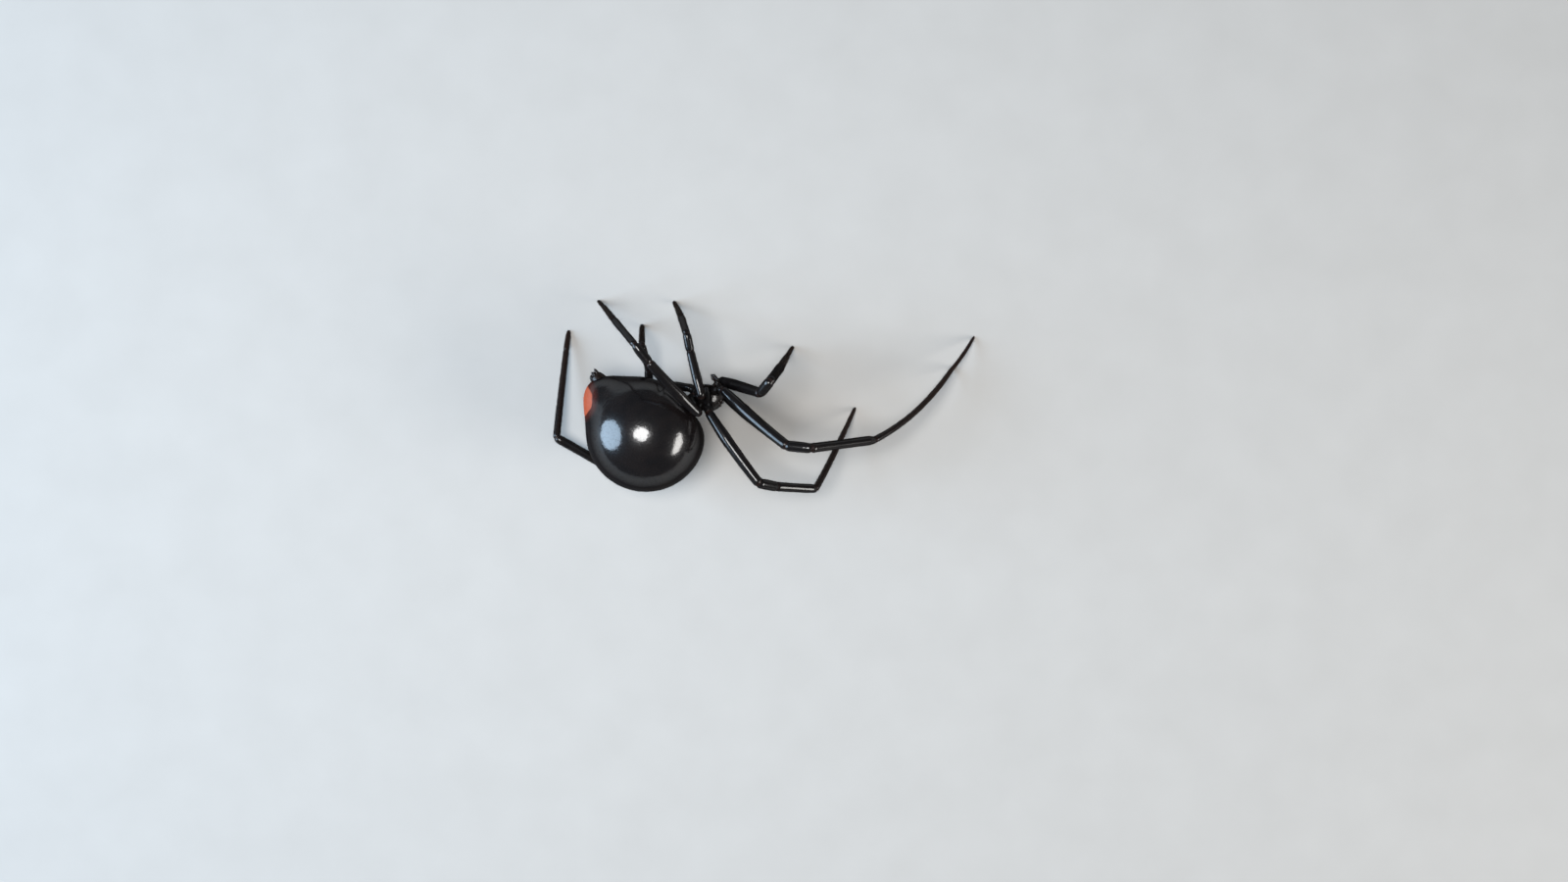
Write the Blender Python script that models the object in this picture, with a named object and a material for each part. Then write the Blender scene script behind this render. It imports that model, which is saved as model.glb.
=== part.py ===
"""Life-size still model of a female black widow spider, lying on its right side with its belly to +Y.

The head points to +X, the left legs reach up to +Z, and the floor is the plane z = 0.
Sizes below are in millimetres, and MM turns them into Blender's metres.
"""

import math
from dataclasses import dataclass

import bmesh
import bpy
import numpy as np
from mathutils import Matrix, Vector

MM = 0.001

# The plan centre of the whole spider, measured from the middle of its abdomen
PLAN_CENTRE = Vector((8.32, 2.757, 0.0))

# Abdomen: nearly a ball, drawn out beside the spinnerets, with a pit where the waist goes in
ABDOMEN_CENTRE = Vector((0.0, 0.0, 5.05))
ABDOMEN_HALF = Vector((4.14, 4.08, 3.72))
SPINNERET_HEADING = 131.0
END_HEADING = 138.0
END_DRAW = 0.27
END_SPREAD = 22.0
WAIST_HEADING = 42.0
WAIST_PIT = 0.27
WAIST_SPREAD = 28.0
BELLY_HEADING = 88.0
BELLY_FLAT = 0.035
BELLY_SPREAD = 26.0

# Head and thorax, in their own axes: forward, left and belly
BODY_CENTRE = Vector((4.0, 2.46, 4.65))
BODY_HEADING = 4.0
BODY_ROLL = 10.0
CARAPACE_LENGTH = 2.85
CARAPACE_WIDTH = 2.3
CARAPACE_RISE = 1.05
CARAPACE_KEEL = 0.42
STERNUM_LENGTH = 1.34
STERNUM_WIDTH = 1.1
STERNUM_THICK = 0.3
EYE_RADIUS = 0.085

# The left eyes of the front row and then of the back row, as (forward, left, belly)
EYE_ROWS = ((1.28, 0.125, -0.4), (1.175, 0.38, -0.345), (1.12, 0.135, -0.615), (1.045, 0.42, -0.5))

# The waist between the carapace and the abdomen: how deep it sits in the abdomen, and its radius
WAIST_DEPTH = 2.7
WAIST_CLIMB = -5.0
WAIST_RADIUS = 0.28

# The low mound of the spinnerets, and the pairs of cones on it as (across, up, reach)
MOUND_RADIUS = 0.5
SPINNERET_GAP = 0.3
MOUND_HEIGHT = 0.16
CONE_PAIRS = ((0.18, 0.17, 0.55), (-0.02, 0.27, 0.42), (-0.12, 0.13, 0.5))
TUBERCLE_OFFSET = 0.3
TUBERCLE_REACH = 0.36

# Gaps between neighbours
JOINT_GAP = 0.25
SOCKET_GAP = 0.2

# Half thickness of each leg piece at stations along it, as (share of its length, radius)
COXA_FORM = ((0.0, 0.19), (0.25, 0.27), (0.58, 0.31), (0.68, 0.27), (0.84, 0.32), (1.0, 0.28))
FEMUR_FORM = ((0.0, 0.27), (0.14, 0.35), (0.4, 0.4), (0.75, 0.38), (0.92, 0.36), (1.0, 0.32))
PATELLA_FORM = ((0.0, 0.3), (0.3, 0.35), (0.8, 0.34), (1.0, 0.3))
TIBIA_FORM = ((0.0, 0.28), (0.15, 0.31), (0.6, 0.29), (0.92, 0.29), (1.0, 0.25))
METATARSUS_FORM = ((0.0, 0.23), (0.1, 0.25), (0.5, 0.24), (1.0, 0.23))
TARSUS_FORM = ((0.0, 0.22), (0.4, 0.2), (0.8, 0.16), (1.0, 0.13))
JAW_FORM = ((0.0, 0.16), (0.2, 0.2), (0.7, 0.18), (1.0, 0.12))
FANG_FORM = ((0, 0.08), (0.6, 0.05), (1, 0.012))
FANG_BENDS = ((1.13, 0.24, 0.78), (1.1, 0.19, 0.94), (1.03, 0.15, 1.08))
JAW_TOP = (1.2, 0.32, 0.1)
JAW_TIP = (1.12, 0.26, 0.88)
LIP_FORM = ((0, 0.1), (0.6, 0.1), (1, 0.06))
LIP_ENDS = ((0.79, 0.14, 0.72), (0.83, 0.15, 0.9))
MOUTH_PLACE = (0.79, 0.0, 0.7)
MOUTH_HALF = (0.09, 0.18, 0.1)
WAIST_FORM = ((0.0, 0.2), (0.3, 0.3), (0.6, 0.27), (1.0, 0.25))
CONE_FORM = ((0, 0.13), (0.7, 0.1), (1, 0.03))
TUBERCLE_FORM = ((0, 0.2), (0.6, 0.16), (1, 0.05))
PALP_BENDS = ((0.94, 0.6, 0.7), (1.04, 0.7, 0.92), (1.0, 0.7, 1.14), (0.84, 0.62, 1.36), (0.62, 0.52, 1.46))
PALP_FORM = ((0, 0.1), (0.2, 0.13), (0.32, 0.1), (0.5, 0.12), (0.62, 0.1), (0.8, 0.115), (1, 0.05))
PIECES = (
    ("femur", FEMUR_FORM, 12, 9),
    ("patella", PATELLA_FORM, 12, 5),
    ("tibia", TIBIA_FORM, 12, 7),
    ("metatarsus", METATARSUS_FORM, 10, 9),
    ("tarsus", TARSUS_FORM, 8, 7),
)

BLACK = (0.012, 0.011, 0.012, 1.0)
BROWN = (0.045, 0.022, 0.014, 1.0)


@dataclass(frozen=True)
class Leg:
    """A leg: where its coxa leaves the body, where its femur starts, and its five pieces.

    root is in the body's own axes, hip is in plan axes from the middle of the abdomen, and each
    run is (length, heading, climb, bow): heading is counted from +X towards +Y and climb from the
    floor, in degrees, and bow is how far the piece's middle bends out, as (to its right, up).
    """

    name: str
    root: tuple
    hip: tuple
    runs: tuple


LEGS = (
    Leg("left_1", (0.68, 0.58, 0.24), (5.40, 2.96, 6.30), (
        (6.50, -41.2, 26.5, (0.10, 0.12)), (1.70, -5.7, 13.6, (0, 0)), (5.48, 7.2, -35.7, (0, 0)),
        (8.75, 41.5, -31.5, (0.45, 0.1)), (3.60, 54.0, -27.0, (0.08, 0.1)))),
    Leg("left_2", (0.26, 0.86, 0.22), (4.42, 1.41, 6.50), (
        (5.95, -54.6, 4.8, (0.08, 0.15)), (1.58, -12.1, -39.1, (0, 0)), (3.22, -4.4, -31.9, (0, 0)),
        (5.43, 62.5, -32.9, (0.05, 0)), (2.31, 64.4, -32.1, (0, 0)))),
    Leg("left_3", (-0.36, 0.86, 0.24), (3.92, 2.50, 6.75), (
        (3.25, 104.0, -7.0, (0, 0.12)), (1.25, 101.4, 12.0, (0, 0)), (2.00, 110.1, -50.0, (0, 0)),
        (3.70, 118.4, -75.0, (0, 0)), (1.65, 121.6, -73.0, (0, 0)))),
    Leg("left_4", (-0.80, 0.68, -0.08), (3.73, 1.33, 7.30), (
        (5.20, 133.5, 26.2, (-0.06, 0.18)), (1.56, 127.9, 12.0, (0, 0)), (3.50, 131.3, -46.0, (0, 0)),
        (5.70, 134.0, -73.0, (0, 0)), (2.13, 136.3, -77.5, (0, 0)))),
    Leg("right_1", (0.66, -0.58, 0.24), (5.36, 2.66, 3.40), (
        (6.60, -38.7, 32.0, (0.05, 0)), (1.66, -5.9, 13.9, (0, 0)), (5.26, 7.2, -29.6, (0, 0)),
        (6.06, 38.0, -24.4, (0.3, 0)), (3.25, 48.9, -39.8, (0, 0.05)))),
    Leg("right_2", (0.14, -0.86, 0.26), (5.15, 3.70, 2.85), (
        (6.29, -19.3, 61.5, (0, 0)), (1.33, 49.2, 39.7, (0, 0)), (2.93, 56.4, -63.7, (0, 0)),
        (5.34, 65.4, -79.3, (0, 0)), (1.61, 61.0, -57.0, (0, 0)))),
    Leg("right_3", (-0.34, -0.86, 0.30), (3.08, 3.19, 2.70), (
        (3.33, 173.1, -19.3, (0, -0.05)), (1.37, 85.8, 46.7, (0, 0)), (2.00, 103.8, 30.0, (0, 0)),
        (2.89, 98.6, -64.1, (0, 0)), (1.05, 98.3, -68.0, (0, 0)))),
    Leg("right_4", (-0.80, -0.68, -0.08), (2.48, 1.96, 1.85), (
        (5.77, -141.3, -15.2, (0, -0.52)), (2.00, -162.1, 28.5, (0, 0)), (3.59, 149.8, 14.5, (0, 0)),
        (6.47, 85.3, -14.3, (0, 0.05)), (1.58, 85.3, -21.0, (0, 0)))),
)


def direction(heading, climb=0.0):
    """The unit vector at a heading in plan and a climb from the floor, in degrees."""
    turn, rise = math.radians(heading), math.radians(climb)
    return Vector((math.cos(turn) * math.cos(rise), math.sin(turn) * math.cos(rise), math.sin(rise)))


def body_axes():
    """Forward, left and belly of the head and thorax, as the columns of a matrix."""
    turn = Matrix.Rotation(math.radians(BODY_HEADING), 3, "Z")
    roll = Matrix.Rotation(math.radians(-BODY_ROLL), 3, "X")
    forward, belly, left = Vector((1, 0, 0)), Vector((0, 1, 0)), Vector((0, 0, 1))
    axes = Matrix((forward, left, belly)).transposed()
    return turn @ roll @ axes


def on_body(forward, left, belly):
    """A point of the head and thorax, given in their own axes, in plan axes."""
    return BODY_CENTRE + body_axes() @ Vector((forward, left, belly))


def material(name, colour, roughness):
    """A shiny shell material."""
    made = bpy.data.materials.new(name)
    made.use_nodes = True
    shader = made.node_tree.nodes["Principled BSDF"]
    shader.inputs["Base Color"].default_value = colour
    shader.inputs["Roughness"].default_value = roughness
    shader.inputs["Metallic"].default_value = 0.0
    made.diffuse_color = colour
    return made


def add_object(name, points, faces, collection):
    """A mesh object from points in millimetres, shaded smooth, with its faces pointing out."""
    mesh = bpy.data.meshes.new(name)
    mesh.from_pydata([tuple((Vector(p) - PLAN_CENTRE) * MM) for p in points], [], faces)
    shell = bmesh.new()
    shell.from_mesh(mesh)
    bmesh.ops.recalc_face_normals(shell, faces=shell.faces)
    shell.to_mesh(mesh)
    shell.free()
    mesh.shade_smooth()
    mesh.set_sharp_from_angle(angle=math.radians(50))
    made = bpy.data.objects.new(name, mesh)
    collection.objects.link(made)
    return made


def form_at(form, share):
    """The radius of a form at a share of its length."""
    return float(np.interp(share, [s for s, _ in form], [r for _, r in form]))


def limb(name, path, form, collection, sides=12, rings=8, planes=(None, None), grow=0.0):
    """A tapered tube along a path of points, closed by flat ends.

    planes are the (point, normal) of its first and last end. An end with no plane is square to
    the path. Where a plane is given, the end ring slides along the path's direction onto it.
    """
    path = [Vector(p) for p in path]
    steps = [0.0]
    for here, there in zip(path, path[1:]):
        steps.append(steps[-1] + (there - here).length)
    length = steps[-1]

    def place(distance):
        return Vector([float(np.interp(distance, steps, [p[i] for p in path])) for i in range(3)])

    ends = [(path[1] - path[0]).normalized(), (path[-1] - path[-2]).normalized()]
    inset = []
    for end, plane, share in zip(ends, planes, (0.0, 1.0)):
        slant = 0.0
        if plane:
            cosine = abs(end.dot(plane[1]))
            slant = form_at(form, share) * math.sqrt(max(1 / cosine**2 - 1, 0.0)) + JOINT_GAP / 2
        inset.append(slant)
    stops = [0.0, *np.linspace(inset[0] + 0.05, length - inset[1] - 0.05, rings), length]

    side = ends[0].orthogonal().normalized()
    points, faces = [], []
    for number, stop in enumerate(stops):
        ahead, behind = place(min(stop + 0.05, length)), place(max(stop - 0.05, 0.0))
        along = (ahead - behind).normalized()
        side = (side - along * side.dot(along)).normalized()
        other = along.cross(side)
        middle, radius = place(stop), form_at(form, stop / length) + grow
        plane = planes[0] if number == 0 else planes[1] if number == len(stops) - 1 else None
        for turn in range(sides):
            angle = math.tau * turn / sides
            point = middle + radius * (math.cos(angle) * side + math.sin(angle) * other)
            if plane:
                reach = (plane[0] - point).dot(plane[1]) / along.dot(plane[1])
                point = point + along * reach
            points.append(point)
    for ring in range(len(stops) - 1):
        for turn in range(sides):
            here, after = ring * sides + turn, ring * sides + (turn + 1) % sides
            faces.append((here, after, after + sides, here + sides))
    faces.append(tuple(range(sides))[::-1])
    faces.append(tuple(range(len(points) - sides, len(points))))
    return add_object(name, points, faces, collection)


def ball(name, surface, collection, around=32, down=18):
    """A closed skin from a function of a direction: a UV sphere whose points are moved onto it."""
    shell = bmesh.new()
    bmesh.ops.create_uvsphere(shell, u_segments=around, v_segments=down, radius=1.0)
    shell.verts.index_update()
    points = [surface(v.co.normalized()) for v in shell.verts]
    faces = [tuple(v.index for v in f.verts) for f in shell.faces]
    shell.free()
    return add_object(name, points, faces, collection)


def boolean(target, tools, operation):
    """Joins the tools to the target, or cuts them from it, and keeps the largest closed surface."""
    helpers = bpy.data.collections.new(target.name + "_tools")
    bpy.context.scene.collection.children.link(helpers)
    for tool in tools:
        for holder in list(tool.users_collection):
            holder.objects.unlink(tool)
        helpers.objects.link(tool)
    step = target.modifiers.new(operation.lower(), "BOOLEAN")
    step.operation = operation
    step.operand_type = "COLLECTION"
    step.collection = helpers
    step.solver = "MANIFOLD"
    graph = bpy.context.evaluated_depsgraph_get()
    result = bpy.data.meshes.new_from_object(target.evaluated_get(graph))
    target.modifiers.clear()
    target.data = result
    for tool in list(helpers.objects):
        bpy.data.objects.remove(tool)
    bpy.data.collections.remove(helpers)
    keep_largest(target)


def keep_largest(target):
    """Drops every closed surface of the object but the one with the most faces."""
    shell = bmesh.new()
    shell.from_mesh(target.data)
    bmesh.ops.remove_doubles(shell, verts=shell.verts, dist=1e-7)
    left, islands = set(shell.verts), []
    while left:
        island, edge = set(), [left.pop()]
        while edge:
            vert = edge.pop()
            island.add(vert)
            for link in vert.link_edges:
                other = link.other_vert(vert)
                if other in left:
                    left.discard(other)
                    edge.append(other)
        islands.append(island)
    islands.sort(key=len)
    for island in islands[:-1]:
        bmesh.ops.delete(shell, geom=list(island), context="VERTS")
    shell.to_mesh(target.data)
    shell.free()
    target.data.shade_smooth()
    target.data.set_sharp_from_angle(angle=math.radians(50))


def cut_at_floor(target):
    """Cuts off what reaches below the floor, which leaves the small flat that the piece rests on."""
    shell = bmesh.new()
    shell.from_mesh(target.data)
    geometry = list(shell.verts) + list(shell.edges) + list(shell.faces)
    cut = bmesh.ops.bisect_plane(
        shell, geom=geometry, dist=1e-8, plane_co=(0, 0, 0), plane_no=(0, 0, -1), clear_outer=True
    )
    edges = [item for item in cut["geom_cut"] if isinstance(item, bmesh.types.BMEdge)]
    if edges:
        bmesh.ops.edgenet_fill(shell, edges=edges)
    bmesh.ops.recalc_face_normals(shell, faces=shell.faces)
    shell.to_mesh(target.data)
    shell.free()


def bump(point, heading, spread, climb=0.0):
    """A smooth swell of height 1 at a direction, which fades over the spread in degrees."""
    angle = math.degrees(point.angle(direction(heading, climb)))
    return math.exp(-((angle / spread) ** 2))


def abdomen_surface(point):
    """The abdomen's skin: an ellipsoid with a drawn-out end, a waist pit and a flatter belly."""
    swell = 1.0 + END_DRAW * bump(point, END_HEADING, END_SPREAD)
    swell -= WAIST_PIT * bump(point, WAIST_HEADING, WAIST_SPREAD, WAIST_CLIMB)
    swell -= BELLY_FLAT * bump(point, BELLY_HEADING, BELLY_SPREAD)
    return ABDOMEN_CENTRE + Vector([point[i] * ABDOMEN_HALF[i] * swell for i in range(3)])


def carapace_surface(point):
    """The carapace's skin: an egg that narrows to a raised head, over a keel between the coxae."""
    forward, left, belly = point
    narrowing = 1.0 - 0.3 * max(forward, 0.0) ** 1.5
    width = CARAPACE_WIDTH / 2 * narrowing
    if belly > 0:
        height = CARAPACE_KEEL
        width *= 1.0 - 0.25 * belly
    else:
        head = math.exp(-(((forward - 0.62) / 0.42) ** 2)) * math.exp(-((left / 0.6) ** 2))
        dimple = math.exp(-(((forward + 0.3) / 0.16) ** 2) - (left / 0.2) ** 2)
        height = CARAPACE_RISE * (0.84 + 0.2 * head - 0.13 * dimple)
    return on_body(forward * CARAPACE_LENGTH / 2, left * width, belly * height)


def sternum_surface(point):
    """The sternum's skin: a heart-shaped plate, broad between the first legs and pointed behind."""
    forward, left, belly = point
    width = STERNUM_WIDTH / 2 * (1.0 + 0.35 * forward - 0.25 * forward**2)
    height = STERNUM_THICK / 2 * belly
    return on_body(forward * STERNUM_LENGTH / 2 - 0.02, left * width,
                   CARAPACE_KEEL + SOCKET_GAP + STERNUM_THICK / 2 + height)


def eye_places():
    """The eight eyes in two rows of four, as (forward, left, belly) places on the head."""
    return [(f, side * l, b) for f, l, b in EYE_ROWS for side in (1, -1)]


def leg_joints(leg):
    """The points where a leg's pieces meet, from its hip to its tip, with the tip on the floor."""
    joints = [Vector(leg.hip)]
    for length, heading, climb, _ in leg.runs:
        joints.append(joints[-1] + length * direction(heading, climb))
    length, heading = leg.runs[-1][:2]
    drop = joints[-2].z
    reach = math.sqrt(max(length**2 - drop**2, 0.01))
    joints[-1] = joints[-2] + reach * direction(heading) + Vector((0, 0, -drop))
    return joints


def bowed(start, end, bow, count=9):
    """Points from start to end whose middle bends out to the right and up by the bow."""
    heading = end - start
    flat = Vector((heading.y, -heading.x, 0)).normalized()
    out = flat * bow[0] + Vector((0, 0, bow[1]))
    shares = [n / (count - 1) for n in range(count)]
    return [start.lerp(end, s) + out * 4 * s * (1 - s) for s in shares]


def joint_plane(joint, before, after, side):
    """The plane that ends a piece at a joint, half a gap before it (side -1) or after it (side 1)."""
    normal = (before.normalized() + after.normalized()).normalized()
    return joint + normal * side * JOINT_GAP / 2, normal


def build_leg(leg, shell, thin, parts):
    """One leg's coxa, femur, patella, tibia, metatarsus and tarsus."""
    joints = leg_joints(leg)
    root = on_body(*leg.root)
    coxa_run = joints[0] - root
    paths = [bowed(a, b, run[3]) for a, b, run in zip(joints, joints[1:], leg.runs)]
    inward = [path[1] - path[0] for path in paths]
    outward = [path[-1] - path[-2] for path in paths]

    plane = joint_plane(joints[0], coxa_run, inward[0], -1)
    coxa = limb("coxa_" + leg.name, [root, joints[0]], COXA_FORM, parts, planes=(None, plane))
    coxa.data.materials.append(shell)
    for number, (word, form, sides, rings) in enumerate(PIECES):
        before = coxa_run if number == 0 else outward[number - 1]
        first = joint_plane(joints[number], before, inward[number], 1)
        last = (joints[-1], Vector((0, 0, -1)))
        if number < len(PIECES) - 1:
            last = joint_plane(joints[number + 1], outward[number], inward[number + 1], -1)
        piece = limb(f"{word}_{leg.name}", paths[number], form, parts, sides, rings, (first, last))
        piece.data.materials.append(thin if number > 2 else shell)
        cut_at_floor(piece)


def waist_ends():
    """The waist's ends: deep in the abdomen's pit, and behind the carapace."""
    return [ABDOMEN_CENTRE + WAIST_DEPTH * direction(WAIST_HEADING, WAIST_CLIMB), on_body(-0.85, 0.0, 0.05)]


def build_body(shell, brown, parts):
    """The abdomen, spinnerets, waist, carapace, sternum, mouthparts, jaws and feelers."""
    abdomen = ball("abdomen", abdomen_surface, parts, 40, 24)
    abdomen.data.materials.append(shell)

    pedicel = limb("pedicel", waist_ends(), WAIST_FORM, parts, rings=5)
    pedicel.data.materials.append(shell)

    carapace = ball("carapace", carapace_surface, parts, 36, 20)
    eyes = []
    for number, place in enumerate(eye_places()):
        eyes.append(ball(f"eye_{number}", lambda p, at=place: on_body(*at) + p * EYE_RADIUS, parts, 10, 6))
    boolean(carapace, eyes, "UNION")
    carapace.data.materials.clear()
    carapace.data.materials.append(shell)

    sternum = ball("sternum", sternum_surface, parts, 24, 12)
    sternum.data.materials.append(shell)
    lips = [
        limb("lip", [on_body(forward, side * left, belly) for forward, left, belly in LIP_ENDS],
             LIP_FORM, parts, 10, 4)
        for side in (1, -1)
    ]
    place = Vector(MOUTH_PLACE)
    mouth = ball("mouthparts", lambda p: on_body(*(place + p * Vector(MOUTH_HALF))), parts, 16, 8)
    boolean(mouth, lips, "UNION")
    mouth.data.materials.clear()
    mouth.data.materials.append(brown)
    return abdomen, carapace, sternum


def jaw_ends(side):
    """The top and tip of one jaw."""
    return [on_body(forward, side * left, belly) for forward, left, belly in (JAW_TOP, JAW_TIP)]


def palp_path(side):
    """The bends of one feeler, from beside the mouth to its tip."""
    return [on_body(forward, side * left, belly) for forward, left, belly in PALP_BENDS]


def build_jaws(shell, parts):
    """The two jaws with their fangs, and the two feelers beside them."""
    for word, side in (("left", 1), ("right", -1)):
        jaw = limb("chelicera_" + word, jaw_ends(side), JAW_FORM, parts, rings=6)
        bends = [on_body(forward, side * left, belly) for forward, left, belly in FANG_BENDS]
        boolean(jaw, [limb("fang", bends, FANG_FORM, parts, 8, 4)], "UNION")
        jaw.data.materials.clear()
        jaw.data.materials.append(shell)
        feeler = limb("palp_" + word, palp_path(side), PALP_FORM, parts, 10, 12)
        feeler.data.materials.append(shell)


def build_spinnerets(brown, parts):
    """Six short cones and the tubercle behind them, fused on one low mound."""
    out = direction(SPINNERET_HEADING)
    across, up = direction(SPINNERET_HEADING - 90.0), Vector((0, 0, 1))
    foot = abdomen_surface(out) + out * SPINNERET_GAP
    mound = limb("spinnerets", [foot, foot + out * MOUND_HEIGHT],
                 ((0, MOUND_RADIUS), (1, 0.84 * MOUND_RADIUS)), parts, 16, 3)
    base = foot - across * TUBERCLE_OFFSET
    cones = [limb("tubercle", [base, base + out * TUBERCLE_REACH], TUBERCLE_FORM, parts, 10, 4)]
    for row, spread, reach in CONE_PAIRS:
        for side in (1, -1):
            base = foot + across * row + up * side * spread
            tip = base + out * reach + across * 0.06
            cones.append(limb("cone", [base, tip], CONE_FORM, parts, 8, 4))
    boolean(mound, cones, "UNION")
    mound.data.materials.clear()
    mound.data.materials.append(brown)


def socket(name, path, form, parts, grow=SOCKET_GAP):
    """A tool that clears the room round a limb, for the piece that it stands against."""
    stretched = [Vector(path[0]) - (Vector(path[1]) - Vector(path[0])).normalized() * grow, *path[1:]]
    return limb(name, stretched, form, parts, grow=grow)


def fit_neighbours(abdomen, carapace, sternum, parts):
    """Cuts the room that the coxae, jaws, feelers and waist need out of the body's pieces."""
    for target in (carapace, sternum):
        tools = [socket("tool", [on_body(*leg.root), Vector(leg.hip)], COXA_FORM, parts) for leg in LEGS]
        if target is carapace:
            for side in (1, -1):
                tools.append(socket("tool", jaw_ends(side), JAW_FORM, parts))
                tools.append(socket("tool", palp_path(side)[:3], PALP_FORM, parts))
        boolean(target, tools, "DIFFERENCE")
    inner, outer = waist_ends()
    for target, path in ((carapace, [outer, inner]), (abdomen, [inner, outer])):
        tool = socket("tool", path, ((0.0, WAIST_RADIUS), (1.0, WAIST_RADIUS)), parts)
        boolean(target, [tool], "DIFFERENCE")


def main():
    for old in list(bpy.data.objects):
        bpy.data.objects.remove(old)
    parts = bpy.data.collections.new("black_widow_spider")
    bpy.context.scene.collection.children.link(parts)

    shell = material("shell_black", BLACK, 0.18)
    thin = material("leg_end_brown_black", BROWN, 0.25)
    brown = material("spinneret_brown", BROWN, 0.4)

    for leg in LEGS:
        build_leg(leg, shell, thin, parts)
    abdomen, carapace, sternum = build_body(shell, brown, parts)
    build_jaws(shell, parts)
    build_spinnerets(brown, parts)
    fit_neighbours(abdomen, carapace, sternum, parts)


main()
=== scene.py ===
"""Looks of a still female black widow spider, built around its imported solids.

The spider lies on its right side with its head to +X and its belly to +Y, as the solids do. Every new
piece is a numpy surface: a grid of points over (along, around), or a tube carried along a path. Sizes
are in millimetres and are turned into metres when a mesh is made.
"""

import logging
from dataclasses import dataclass, field
from enum import Enum
from functools import cached_property
from typing import Callable, Mapping, NamedTuple, Optional, Sequence

import bpy
import numpy as np
from mathutils import Matrix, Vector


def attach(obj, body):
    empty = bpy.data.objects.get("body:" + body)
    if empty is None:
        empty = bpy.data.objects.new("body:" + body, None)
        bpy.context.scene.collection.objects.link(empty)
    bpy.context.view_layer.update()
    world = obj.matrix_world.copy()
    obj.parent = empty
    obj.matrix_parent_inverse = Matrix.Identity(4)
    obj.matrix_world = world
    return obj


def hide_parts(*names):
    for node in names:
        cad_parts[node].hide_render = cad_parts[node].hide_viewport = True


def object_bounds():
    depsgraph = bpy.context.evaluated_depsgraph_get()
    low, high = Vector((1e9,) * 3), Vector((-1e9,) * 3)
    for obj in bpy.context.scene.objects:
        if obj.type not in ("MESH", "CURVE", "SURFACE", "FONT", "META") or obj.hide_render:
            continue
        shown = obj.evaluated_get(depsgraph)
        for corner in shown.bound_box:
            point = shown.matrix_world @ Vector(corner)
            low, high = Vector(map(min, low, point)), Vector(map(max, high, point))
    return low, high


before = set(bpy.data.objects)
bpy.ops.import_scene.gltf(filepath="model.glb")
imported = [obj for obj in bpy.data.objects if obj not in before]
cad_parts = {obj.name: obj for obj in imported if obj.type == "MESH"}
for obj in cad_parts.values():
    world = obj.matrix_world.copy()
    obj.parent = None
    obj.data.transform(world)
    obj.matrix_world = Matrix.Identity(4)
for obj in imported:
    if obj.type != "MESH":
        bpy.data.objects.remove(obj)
BOX = np.array(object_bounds())

LOG = logging.getLogger("spider")
Array = np.ndarray
Triple = tuple[float, float, float]
Socket = bpy.types.NodeSocket
Sockets = Mapping[str, Socket]
MM = 0.001
FLOOR_CLEARANCE = 0.004
HAIR_CLEARANCE = 0.02
RELIEF_DEPTH = 0.00004
BAKE_MAP = "OFBake"
TUFT_PATCH = 0.003
SEED = 7
TINY = 1e-12
NEARLY_UPRIGHT = 0.1
NEARLY_OVERHEAD = 0.95
UP, LEVEL = np.array((0.0, 0.0, 1.0)), np.array((0.0, 1.0, 0.0))

# The same places as in the solids, in plan axes from the middle of the abdomen
PLAN_CENTRE = np.array((8.32, 2.757, 0.0))
ABDOMEN_CENTRE = np.array((0.0, 0.0, 5.05))
BODY_CENTRE = np.array((4.0, 2.46, 4.65))
BODY_HEADING = 4.0
BODY_ROLL = 10.0
WAIST_HEADING = 42.0
WAIST_CLIMB = -5.0


class Side(Enum):
    """A side of the animal, as the sign of its own left axis."""

    LEFT = 1
    RIGHT = -1

    @property
    def word(self) -> str:
        """The side's name in node names."""
        return self.name.lower()

    @property
    def mirror(self) -> Array:
        """What turns a place on the left into one on this side, in the body's own axes."""
        return np.array((1.0, self.value, 1.0))


class Slot(Enum):
    """The record's material slots."""

    SHELL = "shell_black"
    LEG_END = "leg_end_brown_black"
    SPINNERET = "spinneret_brown"


def unit(vectors: Array) -> Array:
    """Scales vectors to length 1.

    Args:
        vectors: with their parts in the last axis.

    Returns:
        The unit vectors.
    """
    return vectors / np.maximum(np.linalg.norm(vectors, axis=-1, keepdims=True), TINY)


def heading_vector(heading: float, climb: float = 0.0) -> Array:
    """Finds the unit vector at a heading and a climb.

    Args:
        heading: degrees from +X towards +Y.
        climb: degrees up from the floor.

    Returns:
        The unit vector.
    """
    turn, rise = np.radians(heading), np.radians(climb)
    return np.array((np.cos(turn) * np.cos(rise), np.sin(turn) * np.cos(rise), np.sin(rise)))


# The head and thorax's own axes as columns: forward, left and belly
AXES = np.stack([heading_vector(BODY_HEADING), heading_vector(BODY_HEADING + 90.0, 90.0 - BODY_ROLL),
                 heading_vector(BODY_HEADING + 90.0, -BODY_ROLL)], axis=1)
FORWARD = AXES[:, 0]


def on_body(points: Array) -> Array:
    """Moves points from the head and thorax's own axes to plan axes.

    Args:
        points: forward, left and belly in the last axis.

    Returns:
        The same points in plan axes.
    """
    return BODY_CENTRE + np.asarray(points, float) @ AXES.T


def smooth_step(low: float, high: float, value: Array) -> Array:
    """Ramps smoothly from 0 at low to 1 at high.

    Args:
        low: where the ramp starts.
        high: where it ends.
        value: what it reads.

    Returns:
        The ramp at each value.
    """
    share = np.clip((value - low) / (high - low), 0.0, 1.0)
    return share * share * (3.0 - 2.0 * share)


def bell(value: Array, middle: float, spread: float) -> Array:
    """Rises to 1 at the middle and fades over the spread: exp(-((value - middle) / spread)^2).

    Args:
        value: what it reads.
        middle: where it is 1.
        spread: how wide it is.

    Returns:
        The bell at each value.
    """
    return np.exp(-(((value - middle) / spread) ** 2))


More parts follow.
